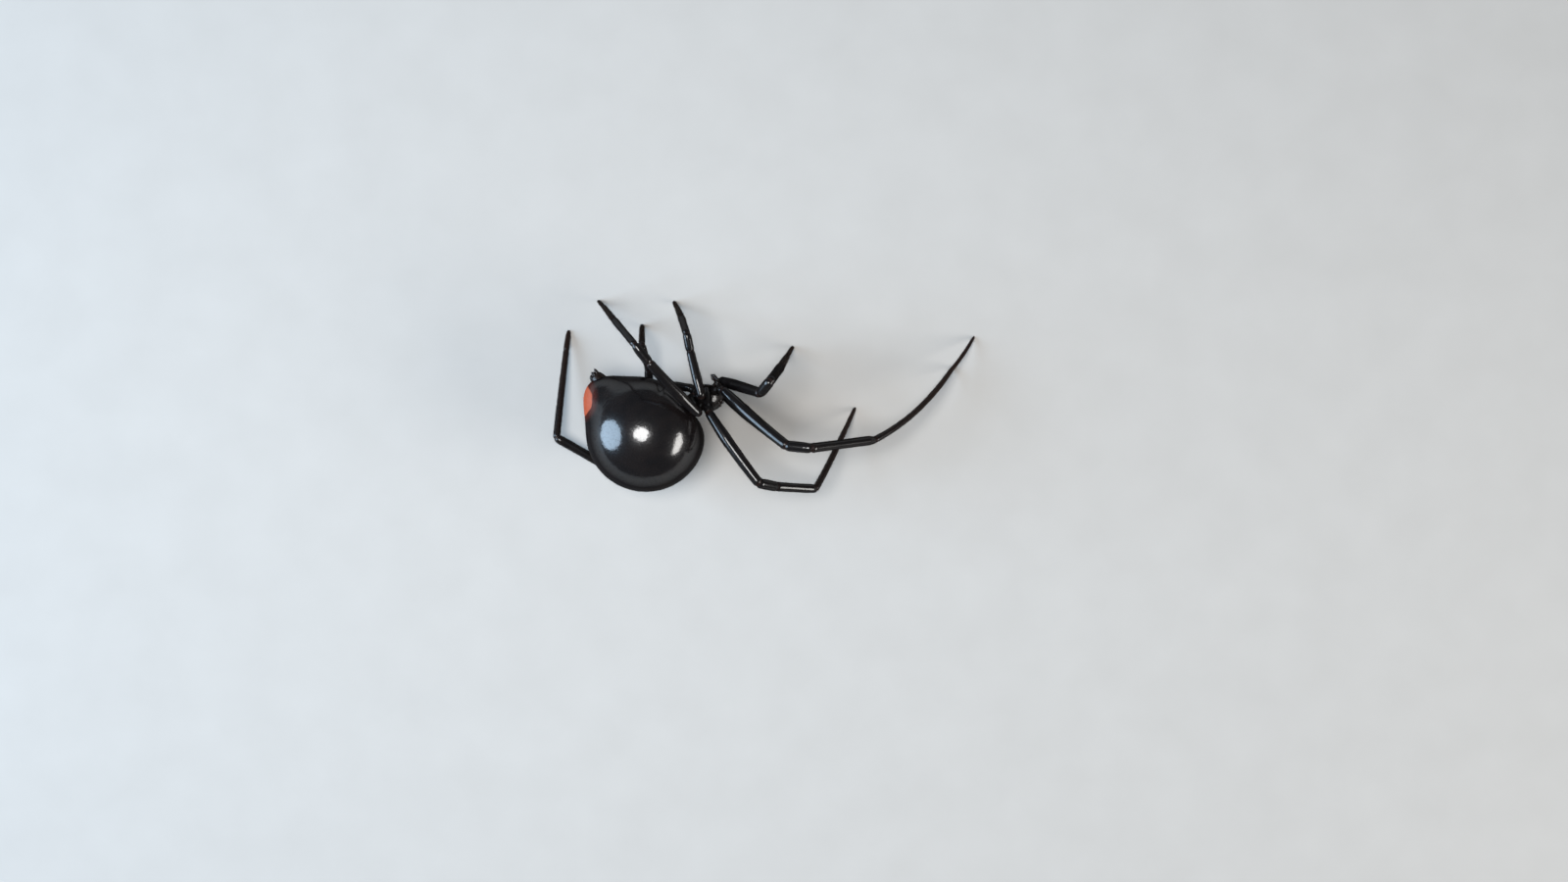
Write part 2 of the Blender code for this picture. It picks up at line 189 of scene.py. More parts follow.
def shares(count: int, start: float = 0.0, end: float = 1.0) -> Array:
    """Makes evenly spaced shares of a length.

    Args:
        count: how many.
        start: the first.
        end: the last.

    Returns:
        The shares as a column.
    """
    return np.linspace(start, end, count)[:, None]


def stepped(share: Array, steps: dict[float, float]) -> Array:
    """Reads a row of straight steps.

    Args:
        share: where it is read.
        steps: position to value.

    Returns:
        The value at each share, as a plain row.
    """
    return np.interp(share.ravel(), list(steps), list(steps.values()))


@dataclass
class Surface:
    """A closed skin as a grid of points, with rows along it, columns around it and a pole at each end.

    Args:
        points: rows x columns x 3, in plan millimetres.
        reach: one value a row, carried as an attribute for the finish.
    """

    points: Array
    reach: Array
    normals: Array = field(init=False)
    along: Array = field(init=False)

    def __post_init__(self) -> None:
        """Finds the outward normals and the ways along the rows, and spreads the reach round them."""
        grid = self.points
        along = np.gradient(grid, axis=0)
        around = np.roll(grid, -1, axis=1) - np.roll(grid, 1, axis=1)
        normals = unit(np.cross(around, along))
        outward = ((grid - grid.mean(axis=1, keepdims=True)) * normals).sum()
        self.normals = -normals if outward < 0 else normals
        self.along = unit(along)
        self.reach = np.repeat(self.reach[:, None], grid.shape[1], axis=1)

    def area_weights(self) -> Array:
        """Finds how much skin belongs to each grid point.

        Returns:
            The share of the area at each, summing to 1.
        """
        around = np.linalg.norm(np.roll(self.points, -1, axis=1) - self.points, axis=2)
        weights = around * np.linalg.norm(np.gradient(self.points, axis=0), axis=2)
        return weights / weights.sum()


class Arrays(NamedTuple):
    """The plain arrays of a mesh.

    Args:
        points: its points.
        corners: the point at each corner.
        starts: the first corner of each polygon.
        uv: each corner's place on the unwrap.
        reach: the value carried at each point.
    """

    points: Array
    corners: Array
    starts: Array
    uv: Array
    reach: Array


def surface_arrays(surface: Surface) -> Arrays:
    """Turns a surface into mesh arrays: quads between its rows and triangles round its two poles.

    Args:
        surface: the closed skin.

    Returns:
        The arrays, with faces pointing outwards.
    """
    rows, columns = surface.points.shape[:2]
    points, reach = (np.concatenate([x[:1, 0], x[1:-1].reshape(-1, *x.shape[2:]), x[-1:, 0]])
                     for x in (surface.points, surface.reach))
    ring, turn, last = np.arange(1, rows - 2)[:, None], np.arange(columns), rows - 1
    shapes = (
        ((ring, turn), (ring, turn + 1), (ring + 1, turn + 1), (ring + 1, turn)),
        ((0, turn + 0.5), (1, turn + 1), (1, turn)),
        ((last, turn + 0.5), (last - 1, turn), (last - 1, turn + 1)),
    )
    numbers, unwraps = [], []
    for shape in shapes:
        places = np.array([[x.ravel() for x in np.broadcast_arrays(*place)] for place in shape], float)
        row, column = places.transpose(1, 2, 0)
        number = 1 + (row - 1) * columns + column % columns
        numbers.append(np.clip(number, 0, len(points) - 1).astype(int))
        unwraps.append(np.stack([column / columns, row / last], axis=2))
    a, b, c = (points[numbers[0][:, i]] - points.mean(axis=0) for i in range(3))
    if (a * np.cross(b, c)).sum() < 0:
        numbers, unwraps = ([x[:, ::-1] for x in group] for group in (numbers, unwraps))
    sizes = np.concatenate([np.full(len(x), x.shape[1]) for x in numbers])
    return Arrays(points, np.concatenate([x.ravel() for x in numbers]), np.cumsum(sizes) - sizes,
                  np.concatenate([x.reshape(-1, 2) for x in unwraps]), reach)


def joined(parts: Sequence[Arrays]) -> Arrays:
    """Puts several sets of arrays into one.

    Args:
        parts: the arrays to join.

    Returns:
        One set of arrays.
    """
    points, corners, starts, uv, reach = zip(*parts)
    starts = [x + n for x, n in zip(starts, np.cumsum([0] + [len(x) for x in corners]))]
    corners = [x + n for x, n in zip(corners, np.cumsum([0] + [len(x) for x in points]))]
    return Arrays(*map(np.concatenate, (points, corners, starts, uv, reach)))


def make_object(name: str, parts: Sequence[Surface | Arrays], wear: "Wear", nodes: Sequence[str] = (),
                slot: Slot = Slot.SHELL) -> None:
    """Makes a piece that rides on the root body, at the origin.

    Args:
        name: the piece's name.
        parts: its skins and hairs.
        wear: its finish.
        nodes: the solids that it stands for.
        slot: the record's slot; not used.
    """
    arrays = joined([surface_arrays(p) if isinstance(p, Surface) else p for p in parts])
    mesh = bpy.data.meshes.new(name)
    points = np.clip(arrays.points - PLAN_CENTRE, BOX[0] / MM + UP * FLOOR_CLEARANCE, BOX[1] / MM)
    for group, key, values in ((mesh.vertices, "co", points * MM),
                               (mesh.loops, "vertex_index", arrays.corners),
                               (mesh.polygons, "loop_start", arrays.starts)):
        group.add(len(values))
        group.foreach_set(key, values.ravel())
    mesh.update(calc_edges=True)
    layer = mesh.uv_layers.new(name=BAKE_MAP)
    layer.data.foreach_set("uv", np.clip(arrays.uv, 0.0, 1.0).ravel())
    carried = mesh.attributes.new("reach", "FLOAT", "POINT")
    carried.data.foreach_set("value", arrays.reach.astype(np.float32))
    mesh.shade_smooth()
    mesh.materials.append(wear.material)
    made = bpy.data.objects.new(name, mesh)
    bpy.context.scene.collection.objects.link(made)
    if nodes:
        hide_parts(*nodes)
    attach(made, "root")
    LOG.info("%s: %d faces", name, len(arrays.starts))


def ball(place: Callable[[Array], Array], pole: Array, rows: int, columns: int) -> Surface:
    """Makes a closed skin from a function of a direction, on rings round a pole.

    Args:
        place: turns unit directions (..., 3) into points.
        pole: the unit direction of the first row.
        rows: rows from pole to pole.
        columns: points a ring.

    Returns:
        The surface: point(t, a) = place(cos t * pole + sin t * (cos a * side + sin a * other)).
    """
    side = unit(np.cross(pole, UP))
    tilt = np.linspace(0.0, np.pi, rows)[:, None, None]
    turn = (np.arange(columns) * 2 * np.pi / columns)[None, :, None]
    ways = np.cos(tilt) * pole + np.sin(tilt) * (np.cos(turn) * side + np.sin(turn) * np.cross(pole, side))
    return Surface(place(ways), np.linspace(0.0, 1.0, rows))


def resampled(path: Array, step: float) -> tuple[Array, Array]:
    """Spaces points evenly along a path.

    Args:
        path: the path's points.
        step: the wanted spacing.

    Returns:
        The new points and their distances from the start.
    """
    lengths = np.concatenate([[0.0], np.cumsum(np.linalg.norm(np.diff(path, axis=0), axis=1))])
    stops = np.linspace(0.0, lengths[-1], max(int(round(lengths[-1] / step)), 8) + 1)
    return np.stack([np.interp(stops, lengths, path[:, i]) for i in range(3)], axis=1), stops


def rounded(path: Array, window: int) -> Array:
    """Rounds the corners of an evenly spaced path with a sliding mean, and keeps its ends.

    Args:
        path: the path's points.
        window: how many points the mean spans.

    Returns:
        The rounded path.
    """
    padded = np.pad(path, ((window // 2, window // 2), (0, 0)), mode="edge")
    kernel = np.ones(window) / window
    smooth = np.stack([np.convolve(padded[:, i], kernel, "valid")[:len(path)] for i in range(3)], axis=1)
    ends = np.minimum(np.arange(len(path)), np.arange(len(path))[::-1])[:, None]
    keep = np.clip(1.0 - ends / (window / 2), 0.0, 1.0)
    return smooth * (1.0 - keep) + path * keep


def tube(path: Array, radii: Array, columns: int, reach: Optional[Array] = None) -> Surface:
    """Carries a circle along a path, and closes both ends with a pole.

    Args:
        path: the path's points.
        radii: the radius at each.
        columns: points a ring.
        reach: the value carried at each path point.

    Returns:
        The surface: point(s, a) = path(s) + r(s) * (cos a * side(s) + sin a * other(s)), with side and
        other turned as little as possible from ring to ring.
    """
    ways = unit(np.gradient(path, axis=0))
    side, sides = np.cross(ways[0], UP), np.zeros_like(path)
    if np.linalg.norm(side) < NEARLY_UPRIGHT:
        side = np.cross(ways[0], LEVEL)
    for row, way in enumerate(ways):
        side = unit(side - way * (side @ way))
        sides[row] = side
    turn = (np.arange(columns) * 2 * np.pi / columns)[None, :, None]
    ring = np.cos(turn) * sides[:, None] + np.sin(turn) * np.cross(ways, sides)[:, None]
    grid = np.pad(path[:, None] + radii[:, None, None] * ring, ((1, 1), (0, 0), (0, 0)))
    grid[0], grid[-1] = path[0], path[-1]
    if reach is None:
        reach = np.linspace(0.0, 1.0, len(path))
    return Surface(grid, np.pad(reach, 1, mode="edge"))


@dataclass(frozen=True)
class HairStyle:
    """How the hairs of one patch look.

    Args:
        count: how many.
        length: middle length.
        width: radius at the root.
        lean: 0 stands straight up and 1 lies along the skin.
        scatter: how much each one strays.
        curl: how far its tip bends back to the skin.
    """

    count: int
    length: float
    width: float
    lean: float
    scatter: float
    curl: float = 0.2


class Coat:
    """Hairs on a skin, joined to one mesh. Each is a bent three-sided cone with a sunk, closed root."""

    # A hair's polygons by the numbers of its points, where each starts, and each point's place in its patch
    CORNERS = np.array((0, 1, 4, 3, 1, 2, 5, 4, 2, 0, 3, 5, 3, 4, 6, 4, 5, 6, 5, 3, 6, 2, 1, 0))
    STARTS = np.array((0, 4, 8, 12, 15, 18, 21))
    PATCH = np.array(((0, 0), (1, 0), (0.5, 1), (0.2, 0.3), (0.8, 0.3), (0.5, 0.8), (0.5, 0.5))) - 0.5
    LENGTHS = (0.7, 1.3)
    LEAST_RISE = 0.25
    TAPER = 0.7
    NEARLY_STRAIGHT = 1e-3
    ASIDE = (0.3, 0.5, 0.8)

    def __init__(self) -> None:
        """Keeps the solids' box, which every hair has to stay in."""
        self.low = BOX[0] / MM + PLAN_CENTRE + UP * HAIR_CLEARANCE
        self.high = BOX[1] / MM + PLAN_CENTRE
        self.random = np.random.default_rng(SEED)

    def grow(self, skin: Surface, style: HairStyle, weight: Optional[Array] = None,
             forward: float = 1.0) -> Arrays:
        """Grows hairs over a skin.

        Args:
            skin: where the roots are.
            style: how they look.
            weight: how thickly they grow at each grid point, the same everywhere unless given.
            forward: 1 where they point along the rows, -1 against them.

        Returns:
            The joined arrays. Each hair's corners share a small patch of the skin's own unwrap.
        """
        rows, columns = skin.points.shape[:2]
        share = skin.area_weights() * (1.0 if weight is None else weight)
        chosen = self.random.choice(share.size, style.count, p=(share / share.sum()).ravel())
        row, column = np.divmod(chosen, columns)
        row = np.clip(row + self.random.uniform(-0.5, 0.5, style.count), 1.0, rows - 2.001)
        column = column + self.random.uniform(-0.5, 0.5, style.count)
        low_row, low_column = np.floor(row).astype(int), np.floor(column).astype(int)
        part_row, part_column = (row - low_row)[:, None], (column - low_column)[:, None]

        def read(values: Array) -> Array:
            """Reads the grid between its points."""
            a, b, c, d = (values[low_row + i, (low_column + j) % columns] for i in (0, 1) for j in (0, 1))
            upper = a * (1 - part_column) + b * part_column
            lower = c * (1 - part_column) + d * part_column
            return upper * (1 - part_row) + lower * part_row

        root, normal, along = read(skin.points), unit(read(skin.normals)), read(skin.along) * forward
        stray = self.random.normal(0.0, style.scatter, root.shape)
        way = unit(normal * (1 - style.lean) + along * style.lean + stray * 0.5)
        rise = (way * normal).sum(axis=1, keepdims=True)
        way = unit(way + normal * np.clip(self.LEAST_RISE - rise, 0.0, None))
        length = style.length * self.random.uniform(*self.LENGTHS, (style.count, 1))
        unwrap = np.stack([column / columns % 1.0, row / (rows - 1)], axis=1)
        reach = read(skin.reach[:, :, None])[:, 0]
        middle = root + way * length * 0.5
        tip = middle + unit(way + along * style.curl) * length * 0.5
        kept = np.all([(x > self.low) & (x < self.high) for x in (middle, tip)], axis=(0, 2))
        root, normal, way, middle, tip, unwrap, reach = (
            x[kept] for x in (root, normal, way, middle, tip, unwrap, reach))
        side = np.cross(way, normal)
        weak = np.linalg.norm(side, axis=1) < self.NEARLY_STRAIGHT
        side[weak] = np.cross(way[weak], self.ASIDE)
        side = unit(side)
        turn = (np.arange(3) * 2 * np.pi / 3)[None, :, None]
        ring = np.cos(turn) * side[:, None] + np.sin(turn) * np.cross(way, side)[:, None]
        base = (root - normal * 2 * style.width)[:, None] + ring * style.width
        upper = middle[:, None] + ring * style.width * self.TAPER
        points = np.concatenate([base, upper, tip[:, None]], axis=1).reshape(-1, 3)
        each = np.arange(len(root))[:, None]
        corners = (each * len(self.PATCH) + self.CORNERS).ravel()
        starts = (each * len(self.CORNERS) + self.STARTS).ravel()
        room = np.clip(unwrap, TUFT_PATCH, 1.0 - TUFT_PATCH)[:, None]
        uv = (room + self.PATCH[self.CORNERS] * TUFT_PATCH).reshape(-1, 2)
        return Arrays(points, corners, starts, uv, np.repeat(reach, len(self.PATCH)))


@dataclass(frozen=True)
class Run:
    """One run of a leg.

    Args:
        length: from joint to joint.
        heading: its way in plan.
        climb: degrees up from the floor.
        bow: how far its middle bows to the right and up.
    """

    length: float
    heading: float
    climb: float
    bow: tuple[float, float] = (0.0, 0.0)


@dataclass(frozen=True)
class LegPlan:
    """Where a leg leaves the body, its hip, its five runs and its true half thicknesses.

    Args:
        side: which side of the animal.
        number: 1 in front to 4 behind.
        root: where the coxa leaves the body, in the body's own axes.
        hip: where the femur starts, in plan axes.
        runs: femur, patella, tibia, metatarsus and tarsus.
        girth: half thickness of each run's middle.
    """

    side: Side
    number: int
    root: Triple
    hip: Triple
    runs: tuple[Run, ...]
    girth: tuple[float, float, float, float, float]

    @property
    def name(self) -> str:
        """The leg's name in node names."""
        return f"{self.side.word}_{self.number}"


LEGS = (
    LegPlan(Side.LEFT, 1, (0.68, 0.58, 0.24), (5.40, 2.96, 6.30), (
        Run(6.50, -41.2, 26.5, (0.10, 0.12)), Run(1.70, -5.7, 13.6), Run(5.48, 7.2, -35.7),
        Run(8.75, 41.5, -31.5, (0.45, 0.1)), Run(3.60, 54.0, -27.0, (0.08, 0.1))),
        (0.405, 0.35, 0.30, 0.185, 0.13)),
    LegPlan(Side.LEFT, 2, (0.26, 0.86, 0.22), (4.42, 1.41, 6.50), (
        Run(5.95, -54.6, 4.8, (0.08, 0.15)), Run(1.58, -12.1, -39.1), Run(3.22, -4.4, -31.9),
        Run(5.43, 62.5, -32.9, (0.05, 0)), Run(2.31, 64.4, -32.1)),
        (0.395, 0.35, 0.315, 0.205, 0.145)),
    LegPlan(Side.LEFT, 3, (-0.36, 0.86, 0.24), (3.92, 2.50, 6.75), (
        Run(3.25, 104.0, -7.0, (0, 0.12)), Run(1.25, 101.4, 12.0), Run(2.00, 110.1, -50.0),
        Run(3.70, 118.4, -75.0), Run(1.65, 121.6, -73.0)),
        (0.33, 0.29, 0.25, 0.19, 0.145)),
    LegPlan(Side.LEFT, 4, (-0.80, 0.68, -0.08), (3.73, 1.33, 7.30), (
        Run(5.20, 133.5, 26.2, (-0.06, 0.18)), Run(1.56, 127.9, 12.0), Run(3.50, 131.3, -46.0),
        Run(5.70, 134.0, -73.0), Run(2.13, 136.3, -77.5)),
        (0.38, 0.32, 0.235, 0.18, 0.13)),
    LegPlan(Side.RIGHT, 1, (0.66, -0.58, 0.24), (5.36, 2.66, 3.40), (
        Run(6.60, -38.7, 32.0, (0.05, 0)), Run(1.66, -5.9, 13.9), Run(5.26, 7.2, -29.6),
        Run(6.06, 38.0, -24.4, (0.3, 0)), Run(3.25, 48.9, -39.8, (0, 0.05))),
        (0.385, 0.34, 0.29, 0.185, 0.13)),
    LegPlan(Side.RIGHT, 2, (0.14, -0.86, 0.26), (5.15, 3.70, 2.85), (
        Run(6.29, -19.3, 61.5), Run(1.33, 49.2, 39.7), Run(2.93, 56.4, -63.7),
        Run(5.34, 65.4, -79.3), Run(1.61, 61.0, -57.0)),
        (0.395, 0.35, 0.315, 0.225, 0.15)),
    LegPlan(Side.RIGHT, 3, (-0.34, -0.86, 0.30), (3.08, 3.19, 2.70), (
        Run(3.33, 173.1, -19.3, (0, -0.05)), Run(1.37, 85.8, 46.7), Run(2.00, 103.8, 30.0),
        Run(2.89, 98.6, -64.1), Run(1.05, 98.3, -68.0)),
        (0.33, 0.29, 0.25, 0.19, 0.145)),
    LegPlan(Side.RIGHT, 4, (-0.80, -0.68, -0.08), (2.48, 1.96, 1.85), (
        Run(5.77, -141.3, -15.2, (0, -0.52)), Run(2.00, -162.1, 28.5), Run(3.59, 149.8, 14.5),
        Run(6.47, 85.3, -14.3, (0, 0.05)), Run(1.58, 85.3, -21.0)),
        (0.39, 0.345, 0.31, 0.225, 0.185)),
)
LEG_PIECES = ("coxa", "femur", "patella", "tibia", "metatarsus", "tarsus")


@dataclass(frozen=True)
class Nodes:
    """A short way to add and link nodes.

    Args:
        tree: where they go.
    """

    tree: bpy.types.NodeTree

    def add(self, kind: str, values: Optional[dict] = None, **settings: object) -> bpy.types.Node:
        """Adds a node.

        Args:
            kind: its type, without the word that shader nodes share.
            values: its inputs by name or number, sockets to link or values to set.
            settings: the node's own settings.

        Returns:
            The node.
        """
        node = self.tree.nodes.new(kind if kind.startswith("Node") else "ShaderNode" + kind)
        for name, value in settings.items():
            setattr(node, name, value)
        for name, value in (values or {}).items():
            if isinstance(value, Socket):
                self.tree.links.new(value, node.inputs[name])
            else:
                node.inputs[name].default_value = value
        return node

    def math(self, operation: str, *values: object, clamp: bool = False) -> Socket:
        """Adds a sum of up to three values.

        Args:
            operation: which sum.
            values: sockets or numbers.
            clamp: whether the result stays between 0 and 1.

        Returns:
            The result.
        """
        return self.add("Math", dict(enumerate(values)), operation=operation, use_clamp=clamp).outputs[0]

    def vector(self, operation: str, *values: object, output: object = 0) -> Socket:
        """Adds a sum of vectors.

        Args:
            operation: which sum.
            values: sockets or vectors.
            output: which output is wanted.

        Returns:
            The result.
        """
        return self.add("VectorMath", dict(enumerate(values)), operation=operation).outputs[output]

    def noise(self, place: Socket, scale: float, detail: float, **more: float) -> Socket:
        """Adds a noise.

        Args:
            place: where it is read.
            scale: how fine it is.
            detail: how many finer layers it has.
            more: its other inputs.

        Returns:
            The noise.
        """
        return self.add("TexNoise", {"Vector": place, "Scale": scale, "Detail": detail, **more}).outputs[0]

    def ramp(self, value: Socket, low: float, high: float, start: float = 0.0, end: float = 1.0) -> Socket:
        """Adds a smooth ramp.

        Args:
            value: what it reads.
            low: where it starts.
            high: where it ends.
            start: the value at low.
            end: the value at high.

        Returns:
            The ramp.
        """
        return self.add("MapRange", dict(enumerate((value, low, high, start, end))),
                        interpolation_type="SMOOTHSTEP").outputs[0]

    def group(self, name: str, values: dict) -> Sockets:
        """Adds a shared group.

        Args:
            name: the group's name.
            values: what goes into it.

        Returns:
            The group's outputs.
        """
        return self.add("Group", values, node_tree=bpy.data.node_groups[name]).outputs

    def mix(self, share: object, first: object, second: object) -> Socket:
        """Mixes two colours.

        Args:
            share: 0 for the first and 1 for the second.
            first: a colour or socket.
            second: a colour or socket.

        Returns:
            The colour.
        """
        first, second = ((*c, 1.0) if isinstance(c, tuple) else c for c in (first, second))
        return self.add("Mix", {0: share, 6: first, 7: second}, data_type="RGBA").outputs[2]


@dataclass(frozen=True)
class Recipe:
    """A shader node group. A socket named Place or Normal is a vector and any other is a number.

    Args:
        name: the group's name.
        inputs: names of what goes in.
        outputs: names of what comes out.
        build: turns the helper and the input sockets into the output sockets, in order.
    """

    name: str
    inputs: tuple[str, ...]
    outputs: tuple[str, ...]
    build: Callable[[Nodes, Sockets], tuple]

    def make(self) -> None:
        """Makes the group."""
        tree = bpy.data.node_groups.new(self.name, "ShaderNodeTree")
        for way, words in (("INPUT", self.inputs), ("OUTPUT", self.outputs)):
            for word in words:
                kind = "NodeSocketVector" if word in ("Place", "Normal") else "NodeSocketFloat"
                tree.interface.new_socket(word, in_out=way, socket_type=kind)
        nodes = Nodes(tree)
        results = self.build(nodes, nodes.add("NodeGroupInput").outputs)
        nodes.add("NodeGroupOutput", dict(zip(self.outputs, results)))


# How fine each noise is, per metre, and how much of the relief's height each layer makes
SWELL_SCALE, GRAIN_SCALE, WRINKLE_SCALE, PIT_SCALE = 900.0, 7000.0, 2600.0, 9000.0
MARK_SCALE, HAIR_SCALE, FLOOR_SCALE = 1500.0, 2500.0, 260.0
GRAIN_HEIGHT, WRINKLE_HEIGHT, PIT_HEIGHT = 0.16, 0.25, 0.12
PIT_EDGE, WEAR_EDGE = (0.0, 0.35), (0.35, 0.7)
# How far a mark's edge strays, and where joint skin and a leg's brown end begin and are full
MARK_STRAY = 0.3
JOINT_EDGE, END_EDGE = (0.475, 0.495), (3.6, 5.2)


def relief(make: Nodes, given: Sockets) -> tuple:
    """Gives shell its fine relief: low swells, wrinkles, a fine grain and tiny pits.

    Args:
        make: the helper.
        given: a place, a size, a share of pits and a strength.

    Returns:
        The normal, the worn swells' share and the fine grain.
    """
    place = make.add("VectorMath", {0: given["Place"], "Scale": given["Size"]}, operation="SCALE").outputs[0]
    height = swell = make.noise(place, SWELL_SCALE, 3.0)
    grain = make.noise(place, GRAIN_SCALE, 4.0, Roughness=0.6)
    wrinkle = make.noise(place, WRINKLE_SCALE, 2.0, Distortion=1.2)
    cells = make.add("TexVoronoi", {"Vector": place, "Scale": PIT_SCALE}).outputs[0]
    pits = make.math("MULTIPLY", make.ramp(cells, *PIT_EDGE), given["Pits"])
    for layer, share in ((grain, GRAIN_HEIGHT), (wrinkle, WRINKLE_HEIGHT), (pits, PIT_HEIGHT)):
        height = make.math("MULTIPLY_ADD", layer, share, height)
    bump = make.add("Bump", {"Height": height, "Strength": given["Strength"], "Distance": RELIEF_DEPTH})
    return bump.outputs[0], make.ramp(swell, *WEAR_EDGE), grain


@dataclass(frozen=True)
class Mark:
    """A red mark on the abdomen.

    Args:
        heading: of its middle.
        climb: of its middle.
        half_length: along the body, as a sine.
        half_width: across the body, as a sine.
        waisted: whether it is an hourglass and not a round spot.
    """

    heading: float
    climb: float
    half_length: float
    half_width: float
    waisted: bool

    FRONT = 0.3
    WAIST_SLOPE, WAIST_WIDTH = 0.8, 0.16
    RED_EDGE, BORDER_EDGE = (0.92, 1.04), (1.05, 1.6)

    def edge(self, make: Nodes, way: Socket, ragged: Socket) -> tuple[Socket, Socket]:
        """Measures how far a direction is from the mark's middle, 1 at its edge.

        Args:
            make: the helper.
            way: the direction from the abdomen's middle.
            ragged: how much the edge strays.

        Returns:
            The red's share, and the share of the red and its dark border together.
        """
        middle, along = heading_vector(self.heading, self.climb), heading_vector(self.heading + 90.0)
        toward, long, wide = (make.vector("DOT_PRODUCT", way, tuple(axis), output="Value")
                              for axis in (middle, along, np.cross(middle, along)))
        facing = make.math("GREATER_THAN", toward, self.FRONT)
        long, wide = (make.math("ABSOLUTE", make.math("DIVIDE", value, half))
                      for value, half in ((long, self.half_length), (wide, self.half_width)))
        if self.waisted:
            waist = make.math("MULTIPLY_ADD", long, self.WAIST_SLOPE, self.WAIST_WIDTH)
            away = make.math("MAXIMUM", long, make.math("DIVIDE", wide, waist))
        else:
            away = make.math("SQRT", make.math("MULTIPLY_ADD", long, long, make.math("MULTIPLY", wide, wide)))
        away = make.math("ADD", away, ragged)
        return tuple(make.math("MULTIPLY", make.ramp(away, *edges, 1.0, 0.0), facing)
                     for edges in (self.RED_EDGE, self.BORDER_EDGE))


BACK_MARK = Mark(152.6, 5.0, 0.208, 0.26, False)
HOURGLASS = Mark(93.0, -20.0, 0.31, 0.2, True)


def red_marks(make: Nodes, given: Sockets) -> tuple:
    """Places the red marks: one spot over the spinnerets and an hourglass below.

    Args:
        make: the helper.
        given: a place in metres.

    Returns:
        The red's share and its dark border's share.
    """
    centre = tuple((ABDOMEN_CENTRE - PLAN_CENTRE) * MM)
    way = make.vector("NORMALIZE", make.vector("SUBTRACT", given["Place"], centre))
    ragged = make.math("MULTIPLY_ADD", make.noise(given["Place"], MARK_SCALE, 3.0),
                       MARK_STRAY, -MARK_STRAY / 2)
    reds, borders = zip(*(mark.edge(make, way, ragged) for mark in (BACK_MARK, HOURGLASS)))
    red = make.math("MAXIMUM", *reds)
    return red, make.math("SUBTRACT", make.math("MAXIMUM", *borders), red, clamp=True)


def leg_shade(make: Nodes, given: Sockets) -> tuple:
    """Shades a leg's shell from its hip to its tip, with brown skin at each joint.

    Args:
        make: the helper.
        given: the reach along the leg, a whole number at each joint.

    Returns:
        The joint skin's share and the brown end's share.
    """
    far = make.math("ABSOLUTE", make.math("SUBTRACT", make.math("FRACT", given["Reach"]), 0.5))
    return make.ramp(far, *JOINT_EDGE), make.ramp(given["Reach"], *END_EDGE)


RECIPES = (
    Recipe("shell_relief", ("Place", "Size", "Pits", "Strength"), ("Normal", "Wear", "Fine"), relief),
    Recipe("red_marks", ("Place",), ("Red", "Border"), red_marks),
    Recipe("leg_shade", ("Reach",), ("Joint", "End"), leg_shade),
)


@dataclass(frozen=True)
class Finish:
    """What every finish shares: a principled shader, fed by the finish's own nodes.

    Args:
        name: the material's name.
    """

    name: str

    def make(self) -> bpy.types.Material:
        """Makes the material.

        Returns:
            The material.
        """
        made = bpy.data.materials.new(self.name)
        made.use_nodes = True
        made.node_tree.nodes.clear()
        nodes = Nodes(made.node_tree)
        place = nodes.add("TexCoord").outputs["Object"]
        shader = nodes.add("BsdfPrincipled", self.inputs(nodes, place))
        nodes.add("OutputMaterial", {"Surface": shader.outputs[0]})
        return made

    def inputs(self, nodes: Nodes, place: Socket) -> dict:
        """Makes what goes into the shader.

        Args:
            nodes: the helper.
            place: the place on the object, in metres.

        Returns:
            Input name to socket or value.
        """
        raise NotImplementedError


